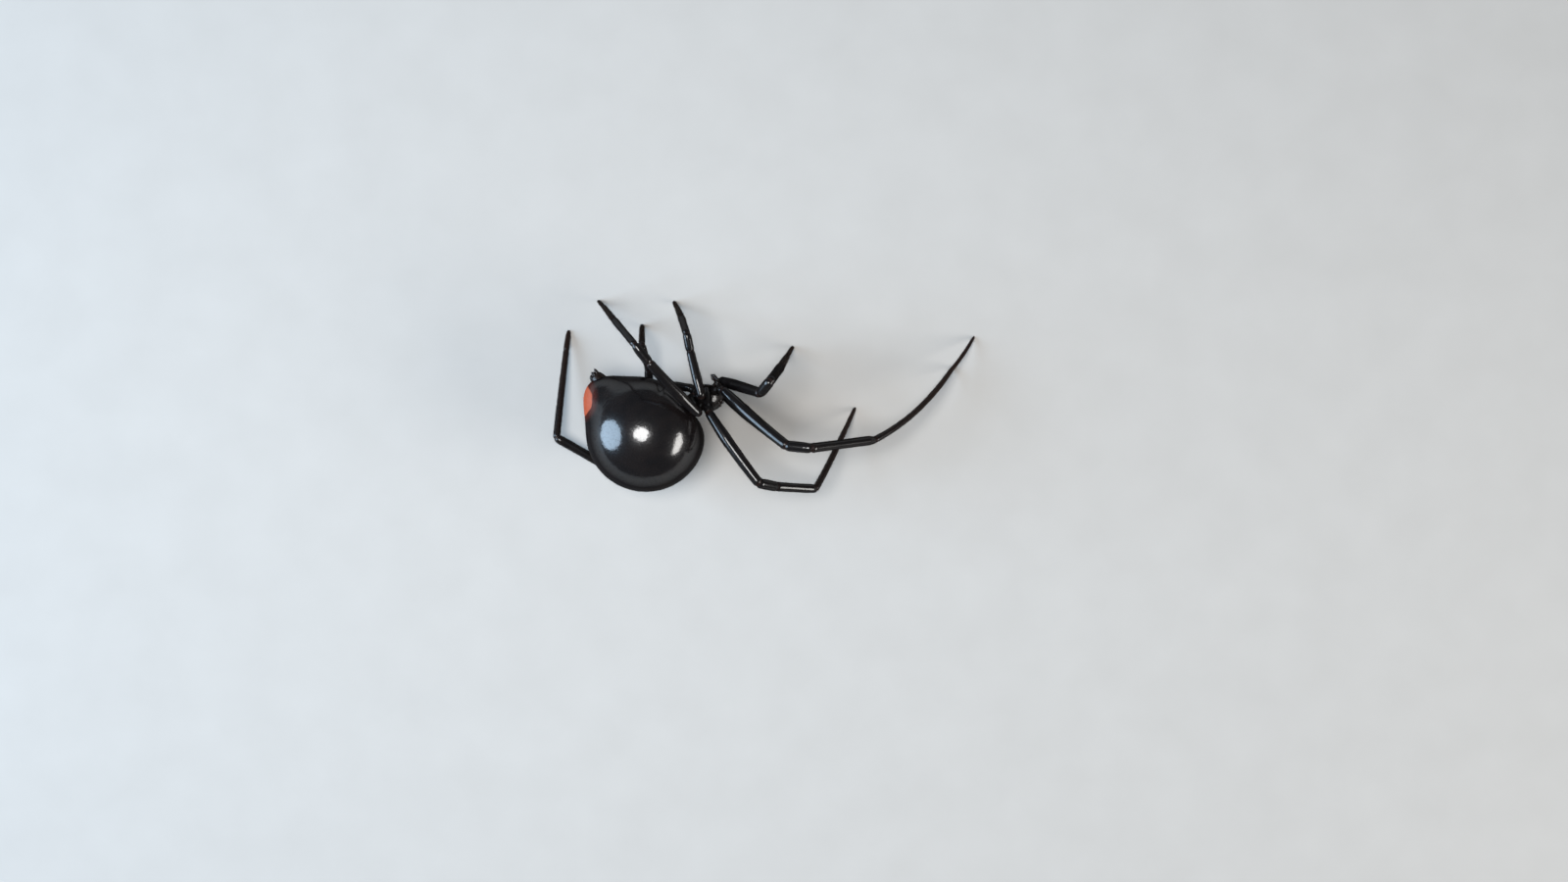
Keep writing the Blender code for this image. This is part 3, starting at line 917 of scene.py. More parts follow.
@dataclass(frozen=True)
class ShellFinish(Finish):
    """A glossy shell, black to its very rim.

    Args:
        colour: its main colour.
        second: the colour of its worn swells.
        end_colour: the colour of a leg's far end.
        joint_colour: the colour of joint skin.
        maroon: the two colours of the red marks' dark border.
        red: the two colours of the red marks.
        roughness: of the shell under its clear layer.
        gloss: weight of the clear layer.
        gloss_roughness: how soft the clear layer's highlight is.
        edge_gloss: the share of the clear layer that is left where the shell turns away.
        sheen: the shell's own reflection, which fades where it turns away.
        relief: strength of the fine relief.
        pits: share of tiny pits.
        marked: whether the red marks are painted on it.
        uses_reach: whether it is shaded along a leg.
        size: scale of the relief.
    """

    colour: Triple
    second: Triple
    end_colour: Triple = (0.013, 0.0065, 0.0048)
    joint_colour: Triple = (0.011, 0.0048, 0.0038)
    maroon: tuple[Triple, Triple] = ((0.030, 0.0055, 0.004), (0.058, 0.011, 0.007))
    red: tuple[Triple, Triple] = ((0.25, 0.040, 0.018), (0.37, 0.088, 0.042))
    roughness: float = 0.24
    gloss: float = 0.6
    gloss_roughness: float = 0.06
    edge_gloss: float = 0.08
    sheen: float = 0.18
    relief: float = 0.25
    pits: float = 0.5
    marked: bool = False
    uses_reach: bool = False
    size: float = 1.0

    GLOSS_TURN, SHEEN_TURN = (0.22, 0.62), (0.2, 0.6)
    GRAIN_ROUGHNESS, END_ROUGHNESS, JOINT_ROUGHNESS, RED_ROUGHNESS = 0.12, 0.08, 0.2, 0.14
    JOINT_DULLING = 0.7
    IOR = 1.5

    def inputs(self, nodes: Nodes, place: Socket) -> dict:
        """Lays joint skin, brown ends and red marks over the shell. See Finish.inputs."""
        fine = nodes.group("shell_relief", {"Place": place, "Size": self.size, "Pits": self.pits,
                                            "Strength": self.relief})
        colour = nodes.mix(fine["Wear"], self.colour, self.second)
        rough = nodes.math("MULTIPLY_ADD", fine["Fine"], self.GRAIN_ROUGHNESS,
                           self.roughness - self.GRAIN_ROUGHNESS / 2)
        facing = nodes.add("LayerWeight", {"Blend": 0.5}).outputs["Facing"]
        gloss = nodes.ramp(facing, *self.GLOSS_TURN, self.gloss, self.gloss * self.edge_gloss)
        if self.uses_reach:
            reach = nodes.add("Attribute", attribute_name="reach").outputs["Fac"]
            shade = nodes.group("leg_shade", {"Reach": reach})
            for part, paint, more in (("End", self.end_colour, self.END_ROUGHNESS),
                                      ("Joint", self.joint_colour, self.JOINT_ROUGHNESS)):
                colour = nodes.mix(shade[part], colour, paint)
                rough = nodes.math("MULTIPLY_ADD", shade[part], more, rough)
            dulled = nodes.math("MULTIPLY_ADD", shade["Joint"], -self.JOINT_DULLING, 1.0)
            gloss = nodes.math("MULTIPLY", gloss, dulled)
        if self.marked:
            marks = nodes.group("red_marks", {"Place": place})
            for part, paints in (("Border", self.maroon), ("Red", self.red)):
                colour = nodes.mix(marks[part], colour, nodes.mix(fine["Fine"], *paints))
            rough = nodes.math("MULTIPLY_ADD", marks["Red"], self.RED_ROUGHNESS, rough)
        return {"Base Color": colour, "Roughness": rough, "IOR": self.IOR, "Normal": fine["Normal"],
                "Specular IOR Level": nodes.ramp(facing, *self.SHEEN_TURN, self.sheen, 0.0),
                "Coat Weight": gloss, "Coat Roughness": self.gloss_roughness, "Coat IOR": self.IOR,
                "Coat Normal": fine["Normal"]}


@dataclass(frozen=True)
class HairFinish(Finish):
    """A dark hair finish with paler hairs among the others.

    Args:
        dark: of the darkest hairs.
        pale: of the palest hairs.
        red: of the hairs on the red marks.
        marked: whether those are red too.
        roughness: of the darkest and of the palest hairs.
        ior: how strongly they bend light.
        sheen: how much they reflect.
    """

    dark: Triple
    pale: Triple
    red: Triple = (0.5, 0.06, 0.02)
    marked: bool = False
    roughness: tuple[float, float] = (0.35, 0.5)
    ior: float = 1.45
    sheen: float = 0.06

    def inputs(self, nodes: Nodes, place: Socket) -> dict:
        """Mixes dark and pale hairs. See Finish.inputs."""
        shade = nodes.ramp(nodes.noise(place, HAIR_SCALE, 2.0), 0.3, 0.7)
        colour = nodes.mix(shade, self.dark, self.pale)
        if self.marked:
            colour = nodes.mix(nodes.group("red_marks", {"Place": place})["Red"], colour, self.red)
        smooth, rough = self.roughness
        return {"Base Color": colour, "Roughness": nodes.math("MULTIPLY_ADD", shade, rough - smooth, smooth),
                "IOR": self.ior, "Specular IOR Level": self.sheen}


@dataclass(frozen=True)
class FloorFinish(Finish):
    """A pale matt floor with a faint grain.

    Args:
        dark: one colour of the grain.
        pale: the other colour.
        roughness: of the whole floor.
    """

    dark: Triple
    pale: Triple
    roughness: float = 0.75

    def inputs(self, nodes: Nodes, place: Socket) -> dict:
        """Mixes the grain's colours. See Finish.inputs."""
        return {"Base Color": nodes.mix(nodes.noise(place, FLOOR_SCALE, 4.0), self.dark, self.pale),
                "Roughness": self.roughness}


class Wear(Enum):
    """Every finish of the spider, by what wears it."""

    SHELL = ShellFinish("black_shell", (0.0045, 0.0040, 0.0042), (0.0075, 0.0062, 0.0058),
                        uses_reach=True, relief=0.22, gloss=0.4)
    ABDOMEN = ShellFinish("abdomen_shell", (0.0042, 0.0036, 0.0040), (0.0068, 0.0052, 0.0052), marked=True,
                          roughness=0.26, gloss=0.95, gloss_roughness=0.10, relief=0.42, pits=0.35)
    CARAPACE = ShellFinish("carapace_shell", (0.0048, 0.0040, 0.0040), (0.0080, 0.0058, 0.0050),
                           relief=0.16, roughness=0.28, gloss=0.42, size=1.6)
    SOFT = ShellFinish("joint_skin", (0.016, 0.007, 0.005), (0.028, 0.012, 0.008), roughness=0.45,
                       gloss=0.15, relief=0.6, size=2.0)
    BROWN = ShellFinish("brown_shell", (0.0065, 0.0036, 0.0027), (0.012, 0.0062, 0.0044), roughness=0.35,
                        gloss=0.25, relief=0.5, size=2.0)
    FANG = ShellFinish("fang_shell", (0.028, 0.006, 0.003), (0.060, 0.014, 0.006), roughness=0.18,
                       gloss=0.9, gloss_roughness=0.04, relief=0.06, size=2.0)
    EYE = ShellFinish("eye_lens", (0.006, 0.003, 0.002), (0.016, 0.007, 0.004), roughness=0.08,
                      gloss=1.0, gloss_roughness=0.02, relief=0.02)
    LEG_HAIR = HairFinish("leg_hair", (0.006, 0.004, 0.003), (0.026, 0.015, 0.010))
    ABDOMEN_HAIR = HairFinish("abdomen_hair", (0.006, 0.004, 0.0035), (0.022, 0.014, 0.010), marked=True)
    FLOOR = FloorFinish("pale_floor", (0.37, 0.355, 0.335), (0.41, 0.395, 0.375))

    @cached_property
    def material(self) -> bpy.types.Material:
        """The finish's material, made when it is first asked for."""
        return self.value.make()


@dataclass(frozen=True)
class LegForm:
    """The shared form of the legs' shells.

    Args:
        step: spacing of the rings.
        columns: points a ring.
        corner: how many rings a joint's bend is rounded over.
        root_depth: how far a coxa starts inside the soft skin.
        coxa: reach to half thickness of the coxa.
        shares: reach to the share of the girth of its run.
        rings: swell, distance from a joint and half length of the soft ring at a joint and of the
            shell's rims before and after it.
    """

    step: float = 0.055
    columns: int = 18
    corner: int = 7
    root_depth: float = 0.32
    coxa: tuple[tuple[float, float], ...] = (
        (0.0, 0.20), (0.25, 0.28), (0.55, 0.32), (0.70, 0.26), (0.84, 0.33), (1.0, 0.30))
    shares: tuple[tuple[tuple[float, float], ...], ...] = (
        ((1.12, 0.88), (1.35, 1.0), (1.7, 0.93), (2.0, 0.85)),
        ((2.3, 1.03), (2.7, 1.02)),
        ((3.0, 1.05), (3.15, 1.04), (3.5, 1.0), (3.9, 1.04)),
        ((4.0, 1.14), (4.1, 1.1), (4.5, 1.0), (5.0, 0.86)),
        ((5.1, 1.05), (5.5, 1.0), (5.85, 0.82), (5.96, 0.68), (6.0, 0.4)))
    rings: tuple[Triple, ...] = ((-0.17, 0.0, 0.055), (0.03, -0.24, 0.1), (0.015, 0.22, 0.09))


class Leg:
    """One leg's shell, hairs and claws."""

    SHORT = HairStyle(1500, 0.16, 0.0055, 0.72, 0.2)
    FINE = HairStyle(1300, 0.13, 0.0045, 0.66, 0.18)
    BRISTLES = HairStyle(90, 0.24, 0.0065, 0.55, 0.2)
    UPRIGHT = HairStyle(12, 0.38, 0.0035, 0.1, 0.15, 0.1)
    COMB = HairStyle(60, 0.26, 0.010, 0.55, 0.04, 0.6)
    CLAWS = ((0.035, 0.13), (-0.035, 0.13), (0.0, 0.07))
    CLAW_RADIUS, CLAW_SUNK, CLAW_DROP, CLAW_ARCH, CLAW_CLEARANCE = 0.016, 0.06, 0.05, 0.03, 0.02

    def __init__(self, plan: LegPlan, form: LegForm, coat: Coat) -> None:
        """Builds the leg.

        Args:
            plan: its places and sizes.
            form: the legs' shared form.
            coat: what grows its hairs.
        """
        self.plan, self.form = plan, form
        self.skin = self.build_skin()
        nodes = [f"{piece}_{plan.name}" for piece in LEG_PIECES]
        make_object(f"leg_{plan.name}", [self.skin], Wear.SHELL, nodes)
        make_object(f"hair_{plan.name}", self.build_hair(coat), Wear.LEG_HAIR, slot=Slot.LEG_END)
        make_object(f"claws_{plan.name}", self.build_claws(), Wear.FANG, slot=Slot.LEG_END)

    def joints(self) -> list[Array]:
        """Finds the points where the runs meet, with the tip on the floor.

        Returns:
            The start inside the soft skin, the hip and the five joints after it.
        """
        root, hip = on_body(self.plan.root), np.array(self.plan.hip)
        places = [root + unit(root - hip) * self.form.root_depth, hip]
        for run in self.plan.runs:
            places.append(places[-1] + run.length * heading_vector(run.heading, run.climb))
        last, drop = self.plan.runs[-1], places[-2][2]
        flat = np.sqrt(max(last.length**2 - drop**2, 0.01))
        places[-1] = places[-2] + flat * heading_vector(last.heading) - UP * drop
        return places

    def build_skin(self) -> Surface:
        """Carries a ring along the leg, with a rim and a soft ring at each joint.

        Returns:
            The leg's closed skin. Its reach is 0 to 1 on the coxa, 1 to 2 on the femur, and so on.
        """
        places, form = self.joints(), self.form
        stretches = [places[0] + (places[1] - places[0]) * shares(12)]
        for start, end, run in zip(places[1:], places[2:], self.plan.runs):
            ahead, share = end - start, shares(24)
            out = unit(np.array((ahead[1], -ahead[0], 0.0))) * run.bow[0] + UP * run.bow[1]
            stretches.append(start + ahead * share + out * 4 * share * (1 - share))
        ends = np.cumsum([np.linalg.norm(np.diff(s, axis=0), axis=1).sum() for s in stretches])
        path, stops = resampled(np.concatenate([stretches[0]] + [s[1:] for s in stretches[1:]]), form.step)
        bounds = np.concatenate([[0.0], ends[:-1], stops[-1:]])
        reach = np.interp(stops, bounds, np.arange(len(bounds)))
        sizes = dict(form.coxa) | {at: girth * share for girth, steps in zip(self.plan.girth, form.shares)
                                   for at, share in steps}
        radii = stepped(reach, sizes)
        for bound in bounds[1:-1]:
            for swell, away, spread in form.rings:
                radii = radii * (1.0 + swell * bell(stops - bound, away, spread))
        return tube(rounded(path, form.corner), radii, form.columns, reach)

    def build_hair(self, coat: Coat) -> list[Arrays]:
        """Grows the leg's hairs: sparse on the thick pieces, thicker to the tip, a few long ones, and a
        comb of curved bristles under the tip of a hind leg.

        Args:
            coat: what grows them.

        Returns:
            The hairs.
        """
        reach = self.skin.reach
        hairy = smooth_step(0.9, 1.3, reach) * (0.5 + 0.9 * smooth_step(3.0, 4.6, reach))
        upright = smooth_step(2.95, 3.1, reach) * (1 - smooth_step(4.1, 4.3, reach))
        patches = [(self.SHORT, hairy), (self.FINE, smooth_step(3.8, 4.3, reach)), (self.BRISTLES, hairy),
                   (self.UPRIGHT, upright)]
        if self.plan.number == 4:
            below = np.zeros_like(reach)
            below[np.arange(len(reach)), self.skin.normals[:, :, 2].argmin(axis=1)] = 1.0
            comb = smooth_step(5.05, 5.15, reach) * (1 - smooth_step(5.75, 5.85, reach))
            patches.append((self.COMB, comb * below + 1e-9))
        return [coat.grow(self.skin, style, weight) for style, weight in patches]

    def build_claws(self) -> list[Surface]:
        """Makes the pair of curved claws and the small middle one at the tip.

        Returns:
            The claws.
        """
        tip, share, claws = self.skin.points[-1, 0], shares(10), []
        ahead = unit(tip - self.skin.points[-8].mean(axis=0))
        across = unit(np.cross(ahead, UP))
        down = np.cross(across, ahead)
        down *= -np.sign(down[2])
        for spread, length in self.CLAWS:
            bend = tip + ahead * (length * share * 0.5 - self.CLAW_SUNK)
            bend += across * spread * (0.6 + 0.8 * share)
            bend += down * (self.CLAW_DROP * share**2 - self.CLAW_ARCH * np.sin(share * np.pi))
            bend[:, 2] = np.maximum(bend[:, 2], self.CLAW_CLEARANCE)
            claws.append(tube(bend, self.CLAW_RADIUS * (1.0 - 0.93 * share[:, 0]), 8))
        return claws


@dataclass(frozen=True)
class Swell:
    """A round swell or pit of the abdomen.

    Args:
        height: as a share of the radius, below 0 for a pit.
        heading: of its middle.
        spread: in degrees.
        climb: of its middle.
    """

    height: float
    heading: float
    spread: float
    climb: float = 0.0


@dataclass(frozen=True)
class AbdomenForm:
    """The abdomen's form, the same as the solid's, with fine features.

    Args:
        half: half sizes of its ellipsoid.
        shrink: how much smaller than the solid the skin is.
        end: heading of its drawn-out end.
        furrow: heading, depth and width of the furrow across the belly.
        swells: the drawn-out end, the waist's pit, the flatter belly, the red spot, the lung covers,
            and paired dimples along the back.
    """

    half: Triple = (4.14, 4.08, 3.72)
    shrink: float = 0.997
    end: float = 138.0
    furrow: Triple = (68.0, 0.012, 0.035)
    swells: tuple[Swell, ...] = (
        Swell(0.27, 138.0, 22.0), Swell(-0.27, WAIST_HEADING, 28.0, WAIST_CLIMB), Swell(-0.035, 88.0, 26.0),
        Swell(0.006, BACK_MARK.heading, 12.0, BACK_MARK.climb), Swell(0.006, 60.0, 8.0, -34.0),
        Swell(0.006, 60.0, 8.0, 22.0),
        *(Swell(-0.006, heading, 3.0, climb)
          for heading in (-50.0, -85.0, -120.0) for climb in (-11.0, 19.0)))


class Abdomen:
    """The abdomen's shell and hairs."""

    FINE = HairStyle(5200, 0.13, 0.0035, 0.72, 0.2)
    SPARSE = HairStyle(700, 0.2, 0.005, 0.6, 0.2)

    def __init__(self, form: AbdomenForm, coat: Coat) -> None:
        """Builds the abdomen.

        Args:
            form: its form.
            coat: what grows its hairs.
        """
        self.form = form
        skin = ball(self.place, heading_vector(form.end), 150, 128)
        make_object("abdomen_skin", [skin], Wear.ABDOMEN, ["abdomen"])
        hairs = [coat.grow(skin, style, forward=-1.0) for style in (self.FINE, self.SPARSE)]
        make_object("abdomen_hair", hairs, Wear.ABDOMEN_HAIR)

    def place(self, ways: Array) -> Array:
        """Puts directions on the abdomen's skin.

        Args:
            ways: unit directions.

        Returns:
            point(way) = middle + half * way * shrink * (1 + swells - furrow), each swell a bell of the
            angle from its middle.
        """
        form = self.form
        size = np.ones(ways.shape[:-1])
        for swell in form.swells:
            cosine = np.clip(ways @ heading_vector(swell.heading, swell.climb), -1, 1)
            size += swell.height * bell(np.degrees(np.arccos(cosine)), 0.0, swell.spread)
        heading, depth, width = form.furrow
        belly_side = smooth_step(0.35, 0.7, ways @ heading_vector(heading, -6.0))
        size -= depth * bell(ways @ heading_vector(heading + 90.0), 0.0, width) * belly_side
        return ABDOMEN_CENTRE + ways * np.array(form.half) * (size * form.shrink)[..., None]


@dataclass(frozen=True)
class BodyForm:
    """Sizes of the head and thorax, the same as the solid's.

    Args:
        length: of the carapace.
        width: of the carapace.
        rise: how far it stands up from the coxae.
        under: how thick its underside is.
        soft: half sizes of the soft skin under it.
        eye_radius: of each eye.
        eyes: the eyes of one side, in the body's own axes.
        jaw: the top and the tip of a jaw.
        fang: the bends of a fang.
        palp: the bends of a feeler.
        palp_joints: where a feeler's joints are, as shares of its length.
        grooves: angle and spread of the carapace's grooves, in degrees.
    """

    length: float = 2.82
    width: float = 2.26
    rise: float = 1.04
    under: float = 0.14
    soft: Triple = (1.22, 0.82, 0.40)
    eye_radius: float = 0.082
    eyes: tuple[Triple, ...] = (
        (1.28, 0.125, -0.4), (1.175, 0.38, -0.345), (1.12, 0.135, -0.615), (1.045, 0.42, -0.5))
    jaw: tuple[Triple, Triple] = ((1.2, 0.32, 0.1), (1.12, 0.26, 0.88))
    fang: tuple[Triple, ...] = ((1.13, 0.24, 0.78), (1.1, 0.19, 0.94), (1.03, 0.15, 1.08))
    palp: tuple[Triple, ...] = (
        (0.94, 0.6, 0.7), (1.04, 0.7, 0.92), (1.0, 0.7, 1.14), (0.84, 0.62, 1.36), (0.62, 0.52, 1.46))
    palp_joints: tuple[float, ...] = (0.14, 0.36, 0.5, 0.68)
    grooves: tuple[tuple[float, float], ...] = ((34, 6), (72, 7), (108, 7), (145, 8))


class HeadAndThorax:
    """The carapace with its eyes, the soft skin below, the sternum, mouth, jaws, feelers and waist."""

    SHIELD_HAIR = HairStyle(700, 0.13, 0.0045, 0.62, 0.25)
    STERNUM_HAIR = HairStyle(260, 0.12, 0.0045, 0.5, 0.25)
    JAW_HAIR = HairStyle(110, 0.14, 0.0045, 0.55, 0.25)
    PALP_HAIR = HairStyle(420, 0.13, 0.0045, 0.6, 0.25)
    FINE_STEP = 0.02

    def __init__(self, form: BodyForm, coat: Coat) -> None:
        """Builds the head and thorax.

        Args:
            form: its sizes.
            coat: what grows its hairs.
        """
        self.form, self.coat = form, coat
        shield = ball(self.carapace, FORWARD, 110, 96)
        make_object("carapace_shield", [shield], Wear.CARAPACE, ["carapace"])
        soft = ball(lambda w: on_body((w @ AXES) * form.soft + (0.0, 0.0, 0.08)), FORWARD, 40, 40)
        make_object("thorax_skin", [soft], Wear.SOFT)
        hairs = [coat.grow(shield, self.SHIELD_HAIR, forward=-1.0), self.sternum()]
        hairs += [build(side) for build in (self.jaw, self.palp) for side in Side]
        make_object("body_hair", hairs, Wear.LEG_HAIR)
        self.eyes()
        self.mouth()
        self.waist()

    def carapace(self, ways: Array) -> Array:
        """Puts directions on the carapace.

        Args:
            ways: unit directions in plan axes.

        Returns:
            Points of an egg that narrows to a raised head, with a pit in the middle of the thorax,
            grooves that run out from it, and a thin underside that ends in a rim.
        """
        form = self.form
        forward, left, belly = np.moveaxis(ways @ AXES, -1, 0)
        width = form.width / 2 * (1.0 - 0.3 * np.maximum(forward, 0.0) ** 1.5)
        head = bell(forward, 0.62, 0.42) * bell(left, 0.0, 0.6)
        pit = bell(forward, -0.3, 0.13) * bell(left, 0.0, 0.16)
        angle = np.degrees(np.arctan2(np.abs(left), forward + 0.3))
        away = np.hypot(forward + 0.3, left)
        groove = sum(bell(angle, middle, spread) for middle, spread in form.grooves)
        groove *= smooth_step(0.08, 0.25, away) * (1 - smooth_step(0.7, 0.95, away))
        rise = form.rise * (0.84 + 0.2 * head - 0.2 * pit - 0.065 * groove)
        height = np.where(belly > 0, form.under, rise)
        lip = 1.0 + 0.02 * bell(belly, 0.0, 0.08)
        along = forward * form.length / 2 * lip
        return on_body(np.stack([along, left * width * lip, belly * height], axis=-1))

    def sternum(self) -> Arrays:
        """Makes the heart-shaped plate between the legs.

        Returns:
            Its hairs.
        """
        def place(ways: Array) -> Array:
            """A lens whose outline is broad in front and pointed behind."""
            forward, left, belly = np.moveaxis(ways @ AXES, -1, 0)
            width = 0.55 * (1.0 + 0.35 * forward - 0.25 * forward**2)
            return on_body(np.stack([forward * 0.67 - 0.02, left * width, 0.77 + 0.145 * belly], axis=-1))

        skin = ball(place, FORWARD, 40, 40)
        make_object("sternum_plate", [skin], Wear.CARAPACE, ["sternum"])
        return self.coat.grow(skin, self.STERNUM_HAIR)

    def jaw(self, side: Side) -> Arrays:
        """Makes one jaw and its fang.

        Args:
            side: which one.

        Returns:
            The jaw's hairs.
        """
        (top, tip), share = np.array(self.form.jaw) * side.mirror, shares(28)
        path = on_body(top + (tip - top) * share + np.array((0.03, 0.0, 0.0)) * np.sin(share * np.pi))
        sizes = {0.0: 0.09, 0.04: 0.145, 0.2: 0.195, 0.6: 0.18, 0.85: 0.15, 0.97: 0.11, 1.0: 0.06}
        skin = tube(path, stepped(share, sizes), 24)
        make_object(f"jaw_{side.word}", [skin], Wear.CARAPACE, [f"chelicera_{side.word}"])
        bends, _ = resampled(on_body(self.form.fang * side.mirror), self.FINE_STEP)
        fang = tube(rounded(bends, 5), np.linspace(1.0, 0.0, len(bends)) ** 0.7 * 0.07 + 0.006, 14)
        make_object(f"fang_{side.word}", [fang], Wear.FANG)
        return self.coat.grow(skin, self.JAW_HAIR)

    def palp(self, side: Side) -> Arrays:
        """Makes one feeler, a thin leg with five pieces.

        Args:
            side: which one.

        Returns:
            The feeler's hairs.
        """
        path, stops = resampled(on_body(self.form.palp * side.mirror), self.FINE_STEP)
        share, joints = stops / stops[-1], self.form.palp_joints
        sizes = {0: 0.10, 0.2: 0.125, 0.32: 0.1, 0.5: 0.115, 0.62: 0.1, 0.8: 0.11, 0.97: 0.07, 1: 0.04}
        radii = stepped(share, sizes)
        for joint in joints:
            radii = radii * (1.0 - 0.28 * bell(share, joint, 0.022))
        reach = np.interp(share, (0, *joints, 1), range(len(joints) + 2))
        skin = tube(rounded(path, 5), radii, 16, reach)
        make_object(f"feeler_{side.word}", [skin], Wear.SHELL, [f"palp_{side.word}"])
        return self.coat.grow(skin, self.PALP_HAIR)

    def eyes(self) -> None:
        """Makes the eight eyes in two rows of four, each a smooth lens."""
        middles = [on_body(place * side.mirror) for place in self.form.eyes for side in Side]
        lenses = [ball(lambda w, at=at: at + w * self.form.eye_radius, FORWARD, 16, 20) for at in middles]
        make_object("eyes", lenses, Wear.EYE)

    def mouth(self) -> None:
        """Makes the lip plate and the two lobes beside it."""
        lip = ball(lambda w: on_body((w @ AXES) * (0.085, 0.15, 0.09) + (0.76, 0.0, 0.72)), FORWARD, 24, 24)
        start, end, share = np.array((0.8, 0.17, 0.7)), np.array((0.84, 0.12, 0.92)), shares(16)
        radii = stepped(share, {0: 0.05, 0.1: 0.085, 0.6: 0.09, 0.9: 0.06, 1: 0.02})
        line = start + (end - start) * share
        lobes = [tube(on_body(line * side.mirror), radii, 14) for side in Side]
        make_object("mouth_lobes", [lip, *lobes], Wear.BROWN, ["mouthparts"], Slot.SPINNERET)

    def waist(self) -> None:
        """Makes the narrow waist, with a few rings."""
        inner = ABDOMEN_CENTRE + 2.7 * heading_vector(WAIST_HEADING, WAIST_CLIMB)
        outer, share = on_body((-0.85, 0.0, 0.05)), shares(60, -0.02, 1.15)
        radii = stepped(share, {0: 0.19, 0.3: 0.28, 0.6: 0.25, 1.0: 0.23, 1.15: 0.2})
        radii = radii * (1.0 - 0.06 * np.cos(share[:, 0] * 38.0) ** 8)
        make_object("waist_skin", [tube(inner + (outer - inner) * share, radii, 20)], Wear.SOFT, ["pedicel"])


@dataclass(frozen=True)
class SpinneretForm:
    """Places and sizes of the spinnerets, the same as the solid's.

    Args:
        heading: where they stand on the abdomen.
        foot: how far out the mound's foot is.
        mound: radius and height of the low mound, and how far it starts inside.
        pairs: each pair as (across, up, reach, radius).
        tubercle: offset, reach and radius of the tubercle behind them.
    """

    heading: float = 131.0
    foot: float = 0.14
    mound: Triple = (0.5, 0.16, 0.9)
    pairs: tuple[tuple[float, float, float, float], ...] = (
        (0.18, 0.17, 0.55, 0.125), (-0.02, 0.27, 0.42, 0.085), (-0.12, 0.13, 0.5, 0.11))
    tubercle: Triple = (0.3, 0.36, 0.17)


class Spinnerets:
    """Three pairs of two-piece cones with a tubercle, on a wrinkled mound."""

    HAIR = HairStyle(60, 0.10, 0.004, 0.6, 0.2)

    def __init__(self, form: SpinneretForm, abdomen: Abdomen, coat: Coat) -> None:
        """Builds the spinnerets.

        Args:
            form: their places.
            abdomen: the abdomen that they stand on.
            coat: what grows their hairs.
        """
        out, across = heading_vector(form.heading), heading_vector(form.heading - 90.0)
        foot = abdomen.place(out) + out * form.foot
        radius, height, inside = form.mound
        share = shares(40)
        radii = radius * stepped(share, {0: 1.2, 0.3: 1.2, 0.7: 1.0, 0.87: 0.9, 0.96: 0.72, 1.0: 0.4})
        radii = radii * (1.0 - 0.035 * np.cos(share[:, 0] * 55.0) ** 6)
        mound = tube(foot + out * (share * (height + inside) - inside), radii, 40)
        offset, *sizes = form.tubercle
        places = [(foot - across * offset, *sizes)]
        for row, spread, *sizes in form.pairs:
            places += [(foot + across * row + UP * side.value * spread, *sizes) for side in Side]
        share = shares(26, -0.1)
        profile = stepped(share, {-0.1: 0.95, 0.0: 1.0, 0.55: 0.9, 0.6: 0.72,
                                  0.66: 0.78, 0.9: 0.55, 1.0: 0.22})
        cones = [tube(base + (out * 0.85 * reach + across * 0.1) * share, girth * profile, 16)
                 for base, reach, girth in places]
        make_object("spinneret_cones", [mound, *cones], Wear.BROWN, ["spinnerets"], Slot.SPINNERET)
        hairs = [coat.grow(cone, self.HAIR) for cone in cones]
        make_object("spinneret_hair", hairs, Wear.LEG_HAIR, slot=Slot.SPINNERET)


@dataclass(frozen=True)
class Lamp:
    """A soft light.

    Args:
        name: its name.
        place: where it stands, in plan millimetres from the middle of the abdomen.
        size: its width and height.
        power: in watts.
        colour: its colour.
    """

    name: str
    place: Triple
    size: tuple[float, float]
    power: float
    colour: Triple = (1.0, 1.0, 1.0)

    def build(self, target: Array) -> None:
        """Adds the light, facing the target.

        Args:
            target: what it lights, in plan millimetres.
        """
        data = bpy.data.lights.new(self.name, "AREA")
        data.shape = "ELLIPSE"
        data.size, data.size_y = self.size[0] * MM, self.size[1] * MM
        data.energy, data.color = self.power, self.colour
        lamp = bpy.data.objects.new(self.name, data)
        back = unit(self.place - target)
        side = unit(np.cross(UP if abs(back[2]) < NEARLY_OVERHEAD else LEVEL, back))
        rows = np.column_stack([side, np.cross(back, side), back, (self.place - PLAN_CENTRE) * MM])
        bpy.context.scene.collection.objects.link(lamp)
        lamp.matrix_world = Matrix([*rows.tolist(), [0.0, 0.0, 0.0, 1.0]])


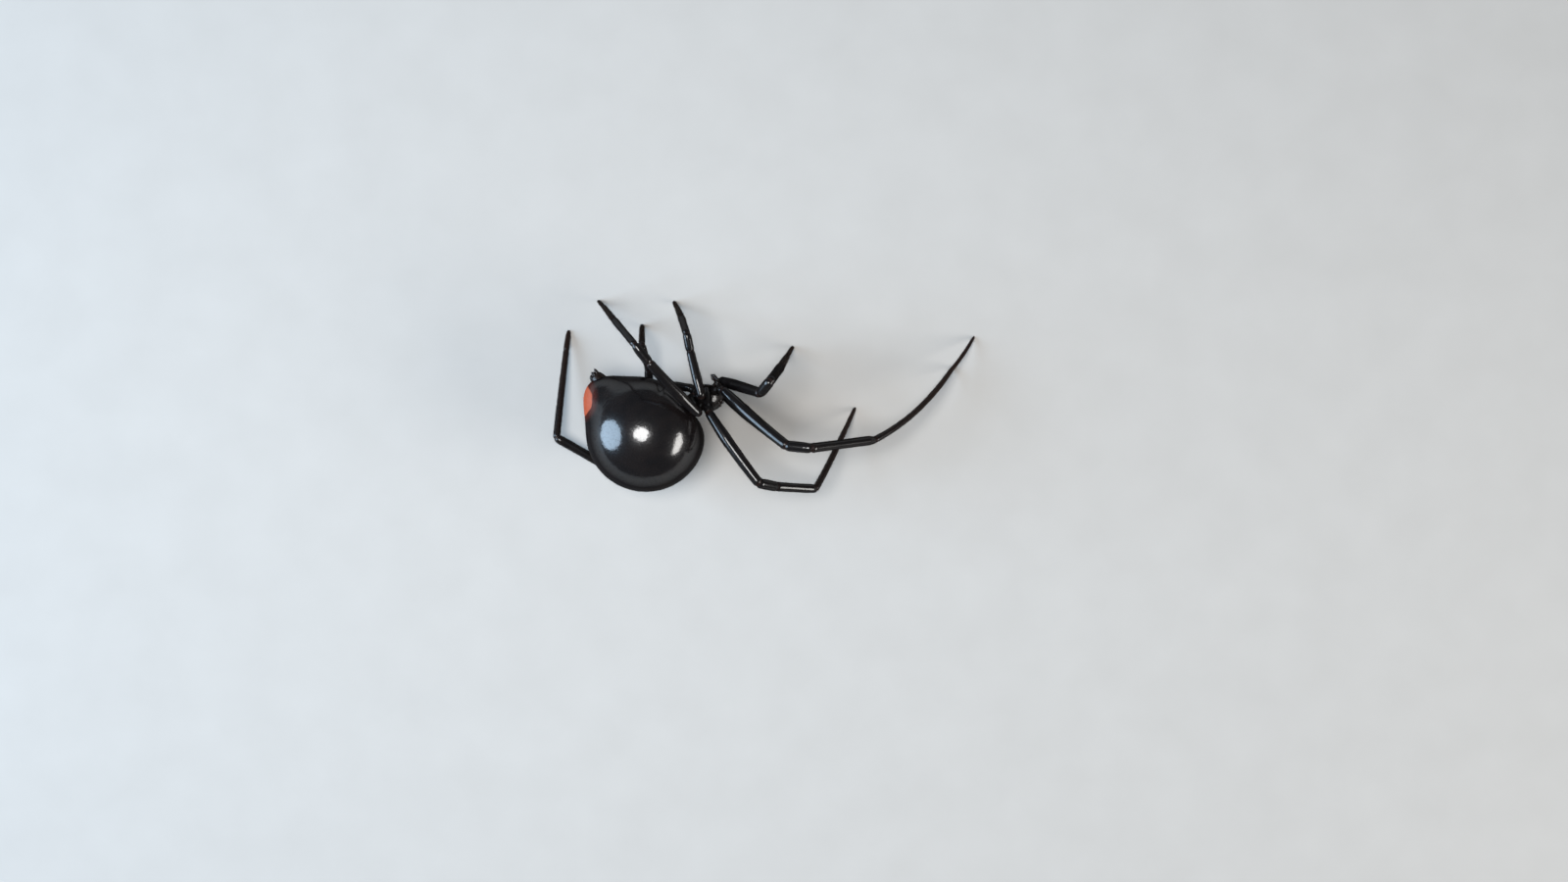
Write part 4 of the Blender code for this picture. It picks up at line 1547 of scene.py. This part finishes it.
@dataclass(frozen=True)
class Studio:
    """The plain pale floor, soft lights and the camera.

    Args:
        lamps: the lights.
        target: what they face, in plan millimetres.
        room_colour: of the light from all around.
        room_strength: of that light.
        camera: where the camera stands, looking straight down.
        lens: its focal length.
        sensor: its width.
        clip_start: the nearest that it sees, in metres.
        floor_half: half the floor's side.
        floor_depth: the floor's thickness, in metres.
    """

    lamps: tuple[Lamp, ...] = (
        Lamp("window", (-225.0, -12.0, 112.0), (205.0, 215.0), 1.25, (0.58, 0.78, 1.0)),
        Lamp("overhead", (-17.0, -5.0, 175.0), (78.0, 70.0), 0.30),
        Lamp("side", (200.0, -70.0, 98.0), (150.0, 62.0), 0.34, (1.0, 0.98, 0.95)))
    target: Triple = (2.0, 1.0, 5.0)
    room_colour: tuple[float, float, float, float] = (0.86, 0.92, 1.0, 1.0)
    room_strength: float = 0.10
    camera: Triple = (9.576, -0.543, 140.0)
    lens: float = 44.68
    sensor: float = 36.0
    clip_start: float = 0.001
    floor_half: float = 1500.0
    floor_depth: float = 0.002

    def build(self) -> None:
        """Adds the floor, lights, surrounding light and camera."""
        self.floor()
        for lamp in self.lamps:
            lamp.build(np.array(self.target))
        scene = bpy.context.scene
        scene.world = bpy.data.worlds.new("soft_room")
        scene.world.use_nodes = True
        surround = scene.world.node_tree.nodes["Background"].inputs
        surround[0].default_value, surround[1].default_value = self.room_colour, self.room_strength
        data = bpy.data.cameras.new("camera")
        data.lens, data.sensor_width, data.clip_start = self.lens, self.sensor, self.clip_start
        camera = bpy.data.objects.new("camera", data)
        camera.location = tuple((self.camera - PLAN_CENTRE) * MM)
        scene.collection.objects.link(camera)
        scene.camera = camera
        scene.view_settings.view_transform = "Standard"
        LOG.info("studio: %d lamps", len(self.lamps))

    def floor(self) -> None:
        """Makes the floor, a thin slab with a faint grain."""
        ends = (-self.floor_half * MM, self.floor_half * MM)
        corners = [(x, y, z) for z in (-self.floor_depth, 0.0) for y in ends for x in ends]
        faces = [(0, 2, 3, 1), (4, 5, 7, 6), (0, 1, 5, 4), (1, 3, 7, 5), (3, 2, 6, 7), (2, 0, 4, 6)]
        mesh = bpy.data.meshes.new("floor")
        mesh.from_pydata(corners, [], faces)
        mesh.materials.append(Wear.FLOOR.material)
        floor = bpy.data.objects.new("floor", mesh)
        bpy.context.scene.collection.objects.link(floor)


def main() -> None:
    """Builds every piece in order."""
    logging.basicConfig(level=logging.INFO, format="%(name)s: %(message)s")
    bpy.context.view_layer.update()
    for recipe in RECIPES:
        recipe.make()
    coat = Coat()
    abdomen = Abdomen(AbdomenForm(), coat)
    HeadAndThorax(BodyForm(), coat)
    Spinnerets(SpinneretForm(), abdomen, coat)
    for plan in LEGS:
        Leg(plan, LegForm(), coat)
    Studio().build()


if __name__ == "__main__":
    main()
